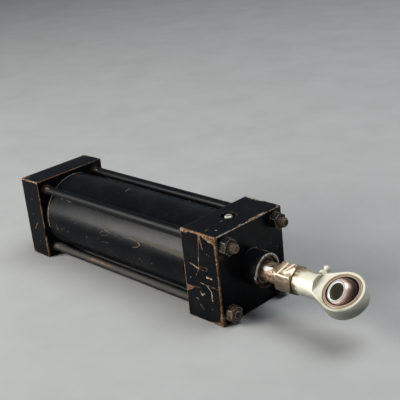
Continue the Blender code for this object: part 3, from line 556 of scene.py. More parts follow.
def wear(piece, marks, grime_and_painted_light=()):
    """Refines a piece round its marks and stores the fields that its material reads, in mm."""
    rows = capsules(marks)
    refine(piece, rows)
    store_fields(piece.data, rows, capsules(grime_and_painted_light))


def store_depth(mesh, name, rows):
    """Stores how deep each vertex lies in the capsules, in mm, and gives their tones."""
    depth, tone, _ = depth_in(vertex_places(mesh), rows)
    store(mesh, name, np.clip(depth, -FIELD_LIMIT, FIELD_LIMIT) / MM)
    return tone


def store_fields(mesh, rows, grime_and_painted_light_rows):
    """Stores all three fields."""
    store(mesh, "tone", store_depth(mesh, "wear", rows))
    store_depth(mesh, "grime_and_painted_light", grime_and_painted_light_rows)


def store_radial_tone(mesh, across, inner, outer):
    """Stores 0 at the inner radius to 1 at the outer one, from two measures across the axis."""
    radius = np.hypot(across[:, 0], across[:, 1])
    store(mesh, "tone", np.clip((radius - inner) / (outer - inner), 0.0, 1.0))


def sharp_lines(piece, angle, radius, tone, keep=None):
    """Marks along a piece's sharp edges."""
    shape = bmesh.new()
    shape.from_mesh(piece.data)
    marks = []
    for edge in shape.edges:
        if len(edge.link_faces) == 2 and edge.calc_face_angle(0.0) > angle:
            first, second = (vertex.co for vertex in edge.verts)
            if keep is None or keep((first + second) / 2):
                marks.append((tone, [(*first, radius), (*second, radius)]))
    shape.free()
    return marks


def finish(piece, look, body, nodes):
    """Gives a piece its material, smooth faces, body and the nodes that it stands for."""
    piece.data.materials.clear()
    piece.data.materials.append(look)
    piece.data.shade_smooth()
    piece.data.set_sharp_from_angle(angle=SHARP_ANGLE)
    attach(piece, body)
    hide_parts(*nodes)
    return piece


# Materials

PAINT_BLACK = (0.0026, 0.0032, 0.0042)
PALE_STEEL = (0.38, 0.31, 0.24)
BEIGE = (0.30, 0.26, 0.19)
BROWN_DIRT = (0.075, 0.046, 0.028)
GREY_DUST = (0.042, 0.039, 0.032)
OLIVE_REFLECTION = (0.040, 0.037, 0.020)
SILVER = (0.62, 0.60, 0.57)


class Look:
    """One material, built node by node. Sizes are in millimetres."""

    def __init__(self, name):
        self.material = bpy.data.materials.new(name)
        self.material.use_nodes = True
        self.tree = self.material.node_tree
        self.shader = self.tree.nodes["Principled BSDF"]
        self.place = self.tree.nodes.new("ShaderNodeTexCoord").outputs["Object"]

    def feed(self, socket, value):
        if isinstance(value, bpy.types.NodeSocket):
            self.tree.links.new(value, socket)
        elif isinstance(value, tuple) and len(value) == 3 and socket.type == "RGBA":
            socket.default_value = (*value, 1.0)
        else:
            socket.default_value = value

    def surface(self, **values):
        """Sets the shader's sockets. Underscores stand for spaces in their names."""
        for name, value in values.items():
            self.feed(self.shader.inputs[name.replace("_", " ")], value)

    def stretched(self, scale):
        node = self.tree.nodes.new("ShaderNodeVectorMath")
        node.operation = "MULTIPLY"
        self.feed(node.inputs[0], self.place)
        node.inputs[1].default_value = scale
        return node.outputs[0]

    def noise(self, size, detail=2.0, roughness=0.5, stretch=None, seed=0.0):
        node = self.tree.nodes.new("ShaderNodeTexNoise")
        node.noise_dimensions = "4D"
        self.feed(node.inputs["Vector"], self.stretched(stretch) if stretch else self.place)
        node.inputs["W"].default_value = seed
        node.inputs["Scale"].default_value = 1.0 / (size * MM)
        node.inputs["Detail"].default_value = detail
        node.inputs["Roughness"].default_value = roughness
        return node.outputs[0]

    def cells(self, size):
        """Distance to, and random value of, scattered points."""
        node = self.tree.nodes.new("ShaderNodeTexVoronoi")
        self.feed(node.inputs["Vector"], self.place)
        node.inputs["Scale"].default_value = 1.0 / (size * MM)
        split = self.tree.nodes.new("ShaderNodeSeparateColor")
        self.feed(split.inputs[0], node.outputs["Color"])
        return node.outputs["Distance"], split.outputs[0]

    def axis(self, index):
        split = self.tree.nodes.new("ShaderNodeSeparateXYZ")
        self.feed(split.inputs[0], self.place)
        return split.outputs[index]

    def field(self, name):
        node = self.tree.nodes.new("ShaderNodeAttribute")
        node.attribute_name = name
        return node.outputs["Fac"]

    def math(self, operation, first, second=0.0, third=0.0, clamp=False):
        node = self.tree.nodes.new("ShaderNodeMath")
        node.operation = operation
        node.use_clamp = clamp
        for socket, value in zip(node.inputs, (first, second, third)):
            self.feed(socket, value)
        return node.outputs[0]

    def spread(self, value, low, high, to_low=0.0, to_high=1.0, smooth=False):
        """Maps a value from one range to another, and stops at its ends."""
        node = self.tree.nodes.new("ShaderNodeMapRange")
        node.interpolation_type = "SMOOTHSTEP" if smooth else "LINEAR"
        for socket, item in zip(node.inputs, (value, low, high, to_low, to_high)):
            self.feed(socket, item)
        return node.outputs[0]

    def centred(self, value, reach):
        """Noise as an offset of about plus or minus the reach."""
        return self.math("MULTIPLY", self.math("SUBTRACT", value, 0.5), reach * 2.5)

    def stirred(self, value, reach, *noise, clamp=False, **options):
        """A value moved by noise, by about plus or minus the reach."""
        return self.math("ADD", value, self.centred(self.noise(*noise, **options), reach), clamp=clamp)

    def mix(self, share, first, second):
        node = self.tree.nodes.new("ShaderNodeMix")
        node.data_type = "RGBA"
        self.feed(node.inputs["Factor"], share)
        self.feed(node.inputs[6], first)
        self.feed(node.inputs[7], second)
        return node.outputs[2]

    def blend(self, share, first, second):
        """Mixes two plain values."""
        node = self.tree.nodes.new("ShaderNodeMix")
        self.feed(node.inputs["Factor"], share)
        self.feed(node.inputs[2], first)
        self.feed(node.inputs[3], second)
        return node.outputs[0]

    def colours(self, value, *stops):
        """A colour from a value and (place, colour) stops."""
        node = self.tree.nodes.new("ShaderNodeValToRGB")
        ramp = node.color_ramp
        while len(ramp.elements) < len(stops):
            ramp.elements.new(0.5)
        for element, (place, colour) in zip(ramp.elements, stops):
            element.position = place
            element.color = (*colour, 1.0)
        self.feed(node.inputs[0], value)
        return node.outputs[0]

    def bump(self, height, distance):
        node = self.tree.nodes.new("ShaderNodeBump")
        node.inputs["Distance"].default_value = distance * MM
        self.feed(node.inputs["Height"], height)
        self.feed(self.shader.inputs["Normal"], node.outputs[0])


def bare_steel(look, tone, pale):
    """The colour of bare and rusted steel, from 0 dark rust to 1 pale."""
    shade = look.stirred(tone, 0.80, 2.8, 4.0, 0.70, seed=3.0)
    shade = look.stirred(shade, 0.45, 0.9, 2.0, 0.6, seed=8.0, clamp=True)
    return look.colours(
        shade, (0.05, (0.018, 0.010, 0.007)), (0.35, (0.070, 0.034, 0.018)),
        (0.62, (0.120, 0.063, 0.034)), (0.82, (0.21, 0.135, 0.084)), (1.0, pale),
    )


def paint_look(
    name, rough=(0.24, 0.40), ragged=0.55, pale=PALE_STEEL, shine=0.35, gloss=0.08, dirt_and_painted_light=BROWN_DIRT
):
    """Gloss black paint, chipped to the steel where the piece's marks lie."""
    look = Look(name)
    edge = look.stirred(look.field("wear"), ragged, 2.4, 5.0, 0.70, seed=1.0)
    edge = look.stirred(edge, ragged * 0.4, 0.6, 2.0, 0.5, seed=2.0)
    chip = look.spread(edge, -0.05, 0.12)
    distance, chance = look.cells(7.0)
    small = look.math("LESS_THAN", distance, 0.035)
    speck = look.math("MULTIPLY", small, look.math("GREATER_THAN", chance, 0.80))
    bare = look.math("MAXIMUM", chip, look.math("MULTIPLY", speck, 0.6))
    grime_and_painted_light = look.stirred(look.field("grime_and_painted_light"), 1.6, 3.0, 4.0, 0.65, seed=4.0)
    grime_and_painted_light = look.spread(grime_and_painted_light, -1.2, 1.4, 0.0, 0.8, smooth=True)
    dust = look.spread(look.noise(26.0, 5.0, 0.62, seed=5.0), 0.48, 0.72, 0.0, 0.03)
    coat = look.mix(dust, PAINT_BLACK, (0.16, 0.15, 0.13))
    # The grime takes the dirt colour; on the tube it is an olive painted reflection.
    coat = look.mix(grime_and_painted_light, coat, dirt_and_painted_light)
    look.surface(Base_Color=look.mix(bare, coat, bare_steel(look, look.field("tone"), pale)))
    smear = look.spread(look.noise(15.0, 5.0, 0.65, stretch=(0.5, 1.0, 1.0), seed=6.0), 0.35, 0.68, *rough)
    smear = look.math("ADD", smear, look.math("MULTIPLY", grime_and_painted_light, 0.25))
    look.surface(Roughness=look.blend(bare, smear, 0.45), Metallic=look.math("MULTIPLY", bare, shine))
    look.surface(IOR=1.45, Specular_IOR_Level=gloss(look) if callable(gloss) else gloss)
    peel = look.math("MULTIPLY", look.noise(1.8, 2.0, 0.5, seed=7.0), 0.05)
    look.bump(look.math("SUBTRACT", peel, look.math("MULTIPLY", bare, 0.9)), 0.09)
    return look.material


def tube_look():
    """The blocks' paint, with pale scratches and, where the grime lies, a thin olive line that is a painted
    reflection along the lower edge of the tube's reflected band.
    """
    return paint_look("tube_paint", (0.22, 0.32), 0.16, BEIGE, 0.1, tube_gloss_painted_shade, OLIVE_REFLECTION)


def tube_gloss_painted_shade(look):
    """Gloss on the tube's near upper side, lowered below and behind as painted shade in its reflections."""
    low = look.spread(look.axis(2), 2 * MM, 9 * MM, 0.04, 0.125, smooth=True)
    back = look.spread(look.axis(1), TUBE_OUTER * 0.10, TUBE_OUTER * 0.42, 1.0, 0.06, smooth=True)
    return look.math("MULTIPLY", low, back)


def block_gloss_painted_shade(look):
    """Less gloss on the near faces and on the lower half of the front face, and more towards its top: painted
    shade and light in their reflections.
    """
    near = look.spread(look.axis(1), -HALF_BLOCK, -HALF_BLOCK + 1 * MM, 0.045, 0.10)
    front = look.spread(look.axis(0), HEAD_FRONT - 1 * MM, HEAD_FRONT, 0.0, 1.0)
    high = look.spread(look.axis(2), -6 * MM, 16 * MM, 0.5, 1.9, smooth=True)
    return look.math("MULTIPLY", near, look.blend(front, 1.0, high))


def nut_look(name, rust_start, rusty):
    """Blackened steel, rusted in places and worn pale along its edges."""
    look = Look(name)
    edge = look.stirred(look.field("wear"), 0.24, 1.2, 3.0, 0.6, seed=1.0)
    worn = look.spread(edge, -0.08, 0.20)
    rust = look.spread(look.noise(4.2, 5.0, 0.68, seed=2.0), rust_start, rust_start + 0.16)
    black = look.mix(rust, (0.006, 0.007, 0.008), rusty)
    pale = look.colours(
        look.noise(1.5, 2.0, seed=3.0), (0.35, (0.09, 0.055, 0.04)), (0.65, (0.36, 0.32, 0.28)),
    )
    look.surface(Base_Color=look.mix(worn, black, pale), Metallic=look.math("MULTIPLY", worn, 0.35))
    look.surface(Roughness=look.blend(worn, look.spread(rust, 0.0, 1.0, 0.34, 0.70), 0.45))
    look.surface(Specular_IOR_Level=0.10)
    look.bump(look.noise(0.9, 3.0, 0.6, seed=5.0), 0.05)
    return look.material


def stud_look(name, dark, middle, light):
    """Rusty steel in three shades, worn pale where the rod's marks lie."""
    look = Look(name)
    rust = look.noise(1.8, 4.0, 0.65, seed=1.0)
    worn = look.stirred(look.field("wear"), 0.3, 1.0, 3.0, 0.6, seed=2.0)
    tint = look.colours(rust, (0.30, dark), (0.52, middle), (0.74, light))
    look.surface(Base_Color=look.mix(look.spread(worn, -0.1, 0.2), tint, (0.30, 0.25, 0.20)))
    look.surface(Roughness=0.55, Metallic=0.1, Specular_IOR_Level=0.25)
    look.bump(rust, 0.08)
    return look.material


def chrome_look():
    """Hard chrome hazed pinkish brown with rust, with a near-white painted glint where its marks lie, and
    dark pits.
    """
    look = Look("rod_chrome")
    blot = look.noise(3.6, 4.0, 0.64, seed=1.0)
    haze = look.colours(
        blot, (0.34, (0.040, 0.024, 0.016)), (0.48, (0.17, 0.105, 0.066)), (0.60, (0.42, 0.29, 0.19)),
        (0.72, (0.85, 0.72, 0.56)),
    )
    # The marks give a near-white, non-metallic patch: a painted glint.
    clear = look.stirred(look.field("wear"), 0.9, 2.0, 4.0, 0.66, seed=2.0)
    clear = look.spread(clear, -0.2, 0.5)
    pit = look.spread(look.noise(1.1, 3.0, 0.6, seed=3.0), 0.58, 0.64)
    tint = look.mix(clear, haze, (1.0, 0.98, 0.94))
    look.surface(Base_Color=look.mix(pit, tint, (0.030, 0.018, 0.014)))
    look.surface(Metallic=look.blend(clear, 0.35, 0.0), Roughness=look.blend(clear, 0.36, 0.30))
    look.bump(look.math("ADD", blot, pit), 0.03)
    return look.material


def zinc_look():
    """Dull zinc plate that has gone ivory, with brown tarnish where its marks lie, painted glints among the
    marks on the hexagon, and painted shade on its underside and on the hexagon's lower half.
    """
    look = Look("zinc_plate")
    cloud = look.noise(9.0, 5.0, 0.6, seed=1.0)
    plate = look.colours(cloud, (0.30, (0.516, 0.4945, 0.3948)), (0.60, (0.60, 0.575, 0.47)))
    # Painted shade: the plate darkens towards the bottom.
    underside_shade = look.stirred(look.axis(2), 2.5 * MM, 7.0, 4.0, 0.6, seed=6.0)
    plate = look.mix(look.spread(underside_shade, 3 * MM, -6 * MM, 0.0, 0.92, smooth=True), plate, (0.13, 0.135, 0.108))
    stain = look.stirred(look.field("grime_and_painted_light"), 1.8, 4.5, 5.0, 0.66, seed=2.0)
    stain = look.spread(stain, -1.2, 1.2, smooth=True)
    brown = look.colours(
        look.noise(3.4, 5.0, 0.70, seed=3.0, stretch=(0.5, 1.0, 1.0)), (0.34, (0.060, 0.038, 0.022)),
        (0.48, (0.270, 0.190, 0.115)), (0.60, (0.56, 0.44, 0.30)), (0.72, (0.90, 0.80, 0.62)),
    )
    # Painted shade: the brown tarnish darkens towards the bottom.
    low = look.spread(look.axis(2), -HEX_FLATS / 8, HEX_FLATS / 2.2, 0.92, 0.0, smooth=True)
    brown = look.mix(low, brown, (0.045, 0.034, 0.022))
    # Marks: pale streaks, the dark line round the race and, on the hexagon, painted glints.
    streak_and_glint = look.stirred(look.field("wear"), 0.26, 1.4, 3.0, 0.6, seed=4.0)
    streak_and_glint = look.spread(streak_and_glint, -0.12, 0.25)
    tint = look.mix(stain, plate, brown)
    tint = look.mix(streak_and_glint, tint, look.colours(
        look.field("tone"), (0.0, (0.030, 0.020, 0.014)), (0.5, (0.20, 0.125, 0.075)),
        (1.0, (0.88, 0.80, 0.64)),
    ))
    look.surface(Base_Color=tint, Metallic=look.blend(stain, 0.10, 0.30))
    look.surface(Roughness=look.blend(stain, look.spread(cloud, 0.3, 0.7, 0.34, 0.44), 0.32))
    look.bump(look.noise(0.7, 3.0, 0.6, seed=5.0), 0.02)
    return look.material


def race_look():
    """Pinkish brown bronze with gold glints, in rings across its face: near-black painted shade next to the
    ball and painted highlight rings at the chamfers.
    """
    look = Look("race_bronze")
    blot = look.noise(3.2, 4.0, 0.60, seed=1.0)
    ring = look.math("ADD", look.field("tone"), look.centred(blot, 0.10))
    # From the ball outwards: near-black painted shade next to the ball, a painted highlight ring, bronze, a
    # painted highlight ring at the outer chamfer and a dark outer edge.
    bronze_with_painted_light = look.colours(
        ring, (0.0, (0.008, 0.006, 0.005)), (0.30, (0.010, 0.008, 0.006)), (0.38, (0.52, 0.38, 0.27)),
        (0.50, (0.40, 0.27, 0.19)), (0.68, (0.21, 0.125, 0.085)), (0.82, (0.42, 0.29, 0.21)),
        (1.0, (0.15, 0.085, 0.055)),
    )
    look.surface(Base_Color=bronze_with_painted_light)
    look.surface(Metallic=0.3, Roughness=look.spread(blot, 0.3, 0.7, 0.42, 0.26))
    look.bump(blot, 0.03)
    return look.material


def bright_look():
    """Ball steel with dull faces, bore rims painted white as a highlight, a rusty side that runs from a
    painted pinkish highlight by the faces to painted shade away from them, and a bore in painted shade.
    """
    look = Look("ball_steel")
    blot = look.noise(2.0, 4.0, 0.66, seed=1.0)
    tone = look.field("tone")
    # The side runs from a painted pinkish highlight next to the faces through rust brown to painted shade
    # away from them.
    rust = look.colours(
        look.math("ADD", tone, look.centred(blot, 0.07)), (0.05, (0.035, 0.018, 0.014)),
        (0.22, (0.13, 0.070, 0.050)), (0.34, (0.30, 0.185, 0.140)), (0.44, (0.78, 0.64, 0.56)),
    )
    steel = look.colours(blot, (0.36, (0.24, 0.23, 0.22)), (0.64, (0.38, 0.37, 0.36)))
    tint = look.mix(look.spread(tone, 0.50, 0.53), rust, steel)
    # The bore rims are painted white as a highlight.
    tint = look.mix(look.spread(tone, 0.70, 0.90), tint, (0.95, 0.94, 0.92))
    # Painted shade in the bore, in dark olive.
    dirt_and_painted_light = look.spread(look.field("wear"), -0.2, 0.2)
    look.surface(Base_Color=look.mix(dirt_and_painted_light, tint, (0.170, 0.150, 0.100)))
    look.surface(Metallic=look.blend(dirt_and_painted_light, 0.35, 0.1), Roughness=look.blend(dirt_and_painted_light, 0.30, 0.5))
    look.bump(look.noise(0.6, 3.0, seed=2.0), 0.01)
    return look.material


def wiper_look():
    """Dark rubber with a ring of golden grease dirt."""
    look = Look("wiper_rubber")
    blot = look.noise(2.2, 4.0, 0.6, seed=1.0)
    ring = look.math("ADD", look.field("tone"), look.centred(blot, 0.12))
    look.surface(Base_Color=look.colours(
        ring, (0.0, (0.10, 0.070, 0.040)), (0.25, (0.030, 0.022, 0.014)), (0.42, (0.22, 0.165, 0.090)),
        (0.62, (0.26, 0.20, 0.115)), (0.78, (0.030, 0.024, 0.016)), (1.0, (0.12, 0.10, 0.065)),
    ))
    look.surface(Roughness=0.5)
    look.bump(blot, 0.03)
    return look.material


def needle_look():
    """Plated brass, nearly white, with painted shade in its slot."""
    look = Look("needle_plate")
    blot = look.noise(1.6, 3.0, 0.6, seed=1.0)
    dirt_and_painted_light = look.spread(look.math("ADD", look.field("grime_and_painted_light"), look.centred(blot, 0.3)), -0.25, 0.2)
    look.surface(Base_Color=look.mix(dirt_and_painted_light, (0.80, 0.76, 0.66), (0.035, 0.028, 0.022)))
    look.surface(Metallic=look.blend(dirt_and_painted_light, 0.6, 0.1), Roughness=look.blend(dirt_and_painted_light, 0.34, 0.7))
    look.bump(blot, 0.02)
    return look.material


def plain_look(name, dark, light, roughness, metallic, size, bump):
    """A plain finish whose colour drifts between two shades."""
    look = Look(name)
    drift = look.noise(size, 4.0, 0.6, seed=1.0)
    look.surface(Base_Color=look.colours(drift, (0.30, dark), (0.70, light)))
    look.surface(Roughness=look.spread(drift, 0.3, 0.7, roughness + 0.07, roughness - 0.05))
    look.surface(Metallic=metallic)
    look.bump(look.noise(size / 6, 3.0, 0.6, seed=2.0), bump)
    return look.material


# Marks, in millimetres. Each is (tone, points), and a point ends with its radius.

HEAD_NEAR_MARKS = [
    (0.62, [(0, 38.1, 1.2), (8, 38.1, 1.6), (14, 38.1, 1.1), (22, 38.1, 1.6), (30, 38.1, 1.1),
            (38.1, 38.1, 1.5)]),
    (0.70, [(0.5, 37.3, 1.5), (7, 35.6, 0.6)]),
    (1.00, [(16.5, 37.9, 1.0)]),
    (0.66, [(20.4, 37.4, 0.50), (19.0, 26.0, 0.26), (16.6, 6.2, 0.24), (13.3, 0.8, 0.14)]),
    (0.62, [(21.1, 35.0, 1.0), (22.2, 28.4, 0.75), (23.5, 24.9, 0.3)]),
    (0.66, [(25.5, 36.0, 0.8), (30.5, 34.8, 1.5), (35.5, 34.0, 1.9)]),
    (0.58, [(38.1, 38, 2.0), (38.1, 31, 2.3), (38.1, 22, 1.5), (38.1, 10, 1.4), (38.1, 1.4, 1.0),
            (38.1, -7.5, 1.5), (38.1, -16, 1.0), (38.1, -25, 1.5), (38.1, -36, 3.4)]),
    (0.60, [(0, 37, 0.9), (0, 22, 0.6), (0, 12, 1.2), (0, -10, 1.5), (0, -25, 0.8), (0, -38.1, 0.5)]),
    (0.58, [(0.3, -13.0, 3.2), (9.5, -10.9, 0.5)]),
    (0.84, [(7.8, 9.9, 0.55), (16.5, 7.4, 0.6)]),
    (0.55, [(18.4, 9.5, 0.22), (26.5, 9.9, 0.20), (25.3, 7.3, 0.20), (17.5, 6.8, 0.22), (18.4, 9.5, 0.22)]),
    (0.95, [(25.0, 1.9, 0.7), (30.4, 1.7, 0.5)]),
    (0.90, [(6.5, -2.9, 0.42)]),
    (0.60, [(10.0, -9.9, 0.30), (16.9, -9.3, 0.24)]),
    (0.88, [(17.6, -4.6, 0.18), (24.2, -5.4, 0.26), (28.6, -9.8, 0.40), (28.7, -17.4, 0.75)]),
    (0.80, [(15.9, -12.7, 0.4), (17.4, -15.4, 0.75), (20.6, -13.5, 0.4)]),
    (0.72, [(10.9, -19.6, 0.35), (13.3, -20.7, 0.35)]),
    (0.85, [(14.8, -24.8, 0.28), (18.3, -28.3, 0.28)]),
    (0.75, [(27.6, -25.3, 0.45)]),
    (0.62, [(25.3, -5.0, 0.20), (36.8, -5.6, 0.24)]),
    (0.55, [(0, -38.1, 0.7), (20, -38.1, 0.7), (28, -37.8, 1.3), (34.6, -36.6, 1.8), (38.1, -36.0, 2.5)]),
    (0.56, [(27.4, 22.1, 0.5)]),
    (0.56, [(30.0, 21.5, 0.45)]),
]
HEAD_TOP_MARKS = [
    (0.88, [(38.1, -38.1, 0.9), (38.1, -8.8, 0.6), (38.1, 10, 1.0), (38.1, 24, 0.5), (38.1, 38.1, 0.8)]),
    (1.00, [(36.9, -8.8, 0.9)]),
    (0.78, [(36.6, 1.7, 0.9), (36.9, 10.0, 1.4), (36.9, 19.3, 0.9)]),
    (0.80, [(36.3, 36.4, 2.1)]),
    (2.00, [(2.5, 37.8, 1.2), (9.6, 36.4, 0.9)]),
    (2.00, [(12.5, 36.4, 1.0), (19.8, 37.8, 1.2)]),
    (0.95, [(28.5, -26.7, 0.65)]),
    (0.90, [(19.2, -14.6, 0.13), (19.9, -7.2, 0.16)]),
    (0.90, [(4.1, -29.9, 0.22)]),
    (0.90, [(18.9, -18.3, 0.26)]),
    (0.90, [(22.1, -32.3, 0.14), (20.7, -26.4, 0.14)]),
    (0.40, [(0, -38.1, 0.6), (0, 38.1, 0.5)]),
    (0.40, [(0, 38.1, 0.5), (38.1, 38.1, 0.6)]),
]
HEAD_FRONT_MARKS = [
    (0.60, [(23.0, 17.4, 0.26), (23.4, 9.6, 0.20)]),
    (0.80, [(30.5, 4.8, 0.45)]),
    (0.45, [(38.1, 38.1, 0.8), (38.1, -38.1, 0.6), (-38.1, -38.1, 0.9)]),
]
CAP_NEAR_MARKS = [
    (0.60, [(0, 38.1, 1.0), (0, 15, 0.6)]),
    (0.60, [(0, 5, 0.6), (0, -20, 0.8)]),
    (0.50, [(0, -28, 0.9), (0, -38.1, 1.3)]),
    (0.58, [(25.4, 38.1, 0.7), (25.4, 17, 0.8), (25.4, 10, 1.5), (25.4, 4, 0.8), (25.4, -10, 0.5)]),
    (0.58, [(25.4, -17, 1.3), (25.4, -28, 1.5), (25.4, -38.1, 1.0)]),
    (0.62, [(14.6, -4.6, 0.42), (9.9, -11.2, 0.36)]),
    (0.60, [(12.6, 19.5, 0.5)]),
    (0.60, [(10.5, 3.7, 0.45)]),
    (0.60, [(14.5, -23.2, 0.5)]),
    (0.42, [(0.4, -35.5, 1.9), (3.4, -37.4, 1.1)]),
    (0.42, [(25.0, -36.5, 1.7)]),
    (0.45, [(0, -38.1, 0.7), (25.4, -38.1, 0.6)]),
]
CAP_TOP_MARKS = [
    (0.64, [(0, -38.1, 1.3), (6, -38.1, 1.0), (10, -38.1, 1.6), (18, -38.1, 1.0), (25.4, -38.1, 1.3)]),
    (0.66, [(0.5, -37, 2.0), (4.5, -31, 0.8)]),
    (0.60, [(25.2, -33.6, 1.4)]),
    (0.52, [(25.4, -38.1, 1.2), (25.4, -10, 0.7), (25.4, 38.1, 0.5)]),
    (0.92, [(0, 36.5, 1.4), (11, 37.6, 0.8)]),
    (0.72, [(0, -38.1, 1.0), (0, 0, 0.7), (0, 36, 1.0)]),
    (0.40, [(25.2, 38.0, 1.8)]),
    (0.60, [(12.9, -8.0, 0.35)]),
    (0.60, [(17.8, 19.3, 0.35)]),
    (0.60, [(24.2, 12.5, 0.40)]),
    (0.40, [(0, 38.1, 0.5), (25.4, 38.1, 0.6)]),
]
CAP_BACK_MARKS = [
    (0.50, [(38.1, 38.1, 0.7), (38.1, -38.1, 0.7), (-38.1, -38.1, 0.8)]),
]
TUBE_MARKS = [
    (0.70, [(42.0, 92.0, 0.34), (42.4, 102.0, 0.28)]),
    (0.75, [(49.4, 95.0, 0.30), (49.2, 99.0, 0.24)]),
    (0.75, [(53.5, 92.0, 0.30), (53.7, 94.6, 0.24)]),
    (0.70, [(58.7, 96.5, 0.60)]),
    (0.85, [(105.2, 84.3, 0.08), (108.0, 78.5, 0.13), (113.1, 74.3, 0.16), (120.1, 74.9, 0.11),
            (117.7, 79.6, 0.11), (107.9, 84.3, 0.10)]),
    (0.75, [(103.3, 86.0, 0.08), (103.4, 92.0, 0.12)]),
    (0.75, [(108.6, 92.9, 0.12), (118.6, 90.8, 0.10)]),
    (0.85, [(128.4, 76.0, 0.34)]),
    (0.80, [(86.5, 94.8, 0.40)]),
    (1.00, [(71.4, 79.4, 0.30)]),
    (1.00, [(69.2, 69.5, 0.34)]),
    (0.90, [(150.2, 100.3, 0.36)]),
    (0.90, [(157.5, 99.5, 0.34)]),
    (0.90, [(117.7, 106.0, 0.30)]),
    (0.80, [(114.9, 117.6, 0.34)]),
    (1.00, [(172.9, 100.0, 0.46)]),
    (0.90, [(138.1, 75.6, 0.08), (147.0, 73.2, 0.12), (156.1, 74.2, 0.18), (160.0, 77.6, 0.22),
            (157.2, 81.6, 0.18), (150.5, 85.0, 0.10)]),
    (0.85, [(111.1, 5.7, 0.30), (109.0, -3.4, 0.28), (111.7, -7.0, 0.22)]),
    (1.00, [(29.9, turn, 0.30) for turn in range(-20, 110, 10)]),
    (0.80, [(41.0, 49.5, 0.40), (47.0, 50.5, 0.25)]),
    (0.70, [(52.0, 50.0, 0.45), (60.0, 51.0, 0.25)]),
]
# An olive line painted along the lower edge of the tube's reflected band, near the head: a painted
# reflection.
TUBE_REFLECTION_EDGE = [
    (0.0, [(213.0, 71.5, 2.4), (180.0, 71.0, 1.6), (145.0, 70.0, 0.3)]),
]
# Pale strokes on the hexagon's upper flat: partly wear, partly painted glints.
HEXAGON_GLINT_STROKES = [
    (1.0, [(2.6, 0.0, 0.70), (4.4, 6.4, 0.80), (6.0, 11.8, 0.60)]),
    (1.0, [(7.1, 4.4, 0.60), (9.2, 8.6, 0.75), (11.5, 12.6, 0.60)]),
    (1.0, [(7.1, 4.4, 0.80), (8.9, 3.2, 1.20), (11.8, 5.6, 1.80), (13.8, 8.4, 1.40), (14.8, 3.6, 0.90)]),
    (0.66, [(11.6, 1.6, 1.10), (13.0, 1.4, 0.80)]),
]


def scaled(points, to_place):
    return [(*to_place(first * MM, second * MM), radius * MM) for first, second, radius in points]


def on_near_side(marks, station):
    return [(tone, scaled(points, lambda u, v: (station + u, -HALF_BLOCK, v))) for tone, points in marks]


def on_top(marks, station):
    return [(tone, scaled(points, lambda u, v: (station + u, v, HALF_BLOCK))) for tone, points in marks]


def on_end(marks, station):
    return [(tone, scaled(points, lambda u, v: (station, u, v))) for tone, points in marks]


def on_tube(marks):
    """Marks given as the station and the degrees from the top towards the near side."""
    placed = []
    for tone, points in marks:
        run = []
        for station, degrees, radius in points:
            turn = math.radians(degrees)
            outward = (-TUBE_PAINTED * math.sin(turn), TUBE_PAINTED * math.cos(turn))
            run.append((station * MM, *outward, radius * MM))
        placed.append((tone, run))
    return placed


def circle(centre, axis, radius, width, steps=32, start=0.0, end=2 * math.pi):
    """The points of a circular mark across the X or the Z axis."""
    points = []
    for step in range(steps + 1):
        turn = start + (end - start) * step / steps
        first = radius * math.cos(turn)
        second = radius * math.sin(turn)
        offset = {"X": (0, second, first), "Z": (first, second, 0)}[axis]
        points.append((centre[0] + offset[0], centre[1] + offset[1], centre[2] + offset[2], width))
    return points


# Blocks


def block_body(name, back, depth, side, hole_start):
    """A block whose spigot points to side +1 or -1 along X."""
    face = back + depth if side > 0 else back
    body = box(name, (back, -HALF_BLOCK, -HALF_BLOCK), (back + depth, HALF_BLOCK, HALF_BLOCK), BLOCK_BEVEL)
    groove = COLLAR_LENGTH + RING_GROOVE_SHOULDER
    groove_radius = SPIGOT_RADIUS - RING_GROOVE_DEPTH
    spigot = [
        (-OVERCUT, 0), (-OVERCUT, TUBE_OUTER), (COLLAR_LENGTH, TUBE_OUTER),
        (COLLAR_LENGTH, SPIGOT_RADIUS), (groove, SPIGOT_RADIUS), (groove, groove_radius),
        (groove + RING_GROOVE_WIDTH, groove_radius), (groove + RING_GROOVE_WIDTH, SPIGOT_RADIUS),
        (SPIGOT_LENGTH - SPIGOT_CHAMFER, SPIGOT_RADIUS), (SPIGOT_LENGTH, SPIGOT_RADIUS - SPIGOT_CHAMFER),
        (SPIGOT_LENGTH, 0),
    ]
    join(body, turned(name + "_spigot", spigot, ROUND_SIDES, pointing((side, 0, 0), (face, 0, 0))))
    hole = rod_profile(hole_start, back + depth + OVERCUT, TIE_ROD_RADIUS + SEAT_GAP)
    for y, z in TIE_ROD_PLACES:
        cut(body, turned(name + "_hole", hole, SMALL_SIDES, Matrix.Translation((0, y, z))))
    return body


def cut_port(body, station, passage_station, chamber_radius):
    """Cuts a threaded air port into the far side of a block, and its passage."""
    port = [
        (-OVERCUT, 0), (-OVERCUT, PORT_MOUTH_RADIUS), (0, PORT_MOUTH_RADIUS),
        (PORT_MOUTH_DEPTH, PORT_RADIUS),
    ]
    for turn in range(int(PORT_THREAD_LENGTH / PORT_PITCH)):
        start = PORT_MOUTH_DEPTH + turn * PORT_PITCH
        port += [(start + PORT_PITCH * share, PORT_RADIUS - PORT_THREAD_DEPTH) for share in PORT_CREST]
        port.append((start + PORT_PITCH, PORT_RADIUS))
    port += [(PORT_DEPTH, PORT_RADIUS - PORT_FLOOR_INSET), (PORT_DEPTH, 0)]
    inward = (0, -1, 0)
    cut(body, turned("port", port, SMALL_SIDES, pointing(inward, (station, HALF_BLOCK, 0))))
    passage = rod_profile(PORT_DEPTH - OVERCUT, HALF_BLOCK - chamber_radius / 2, PORT_PASSAGE_RADIUS)
    cut(body, turned("passage", passage, SMALL_SIDES, pointing(inward, (passage_station, HALF_BLOCK, 0))))


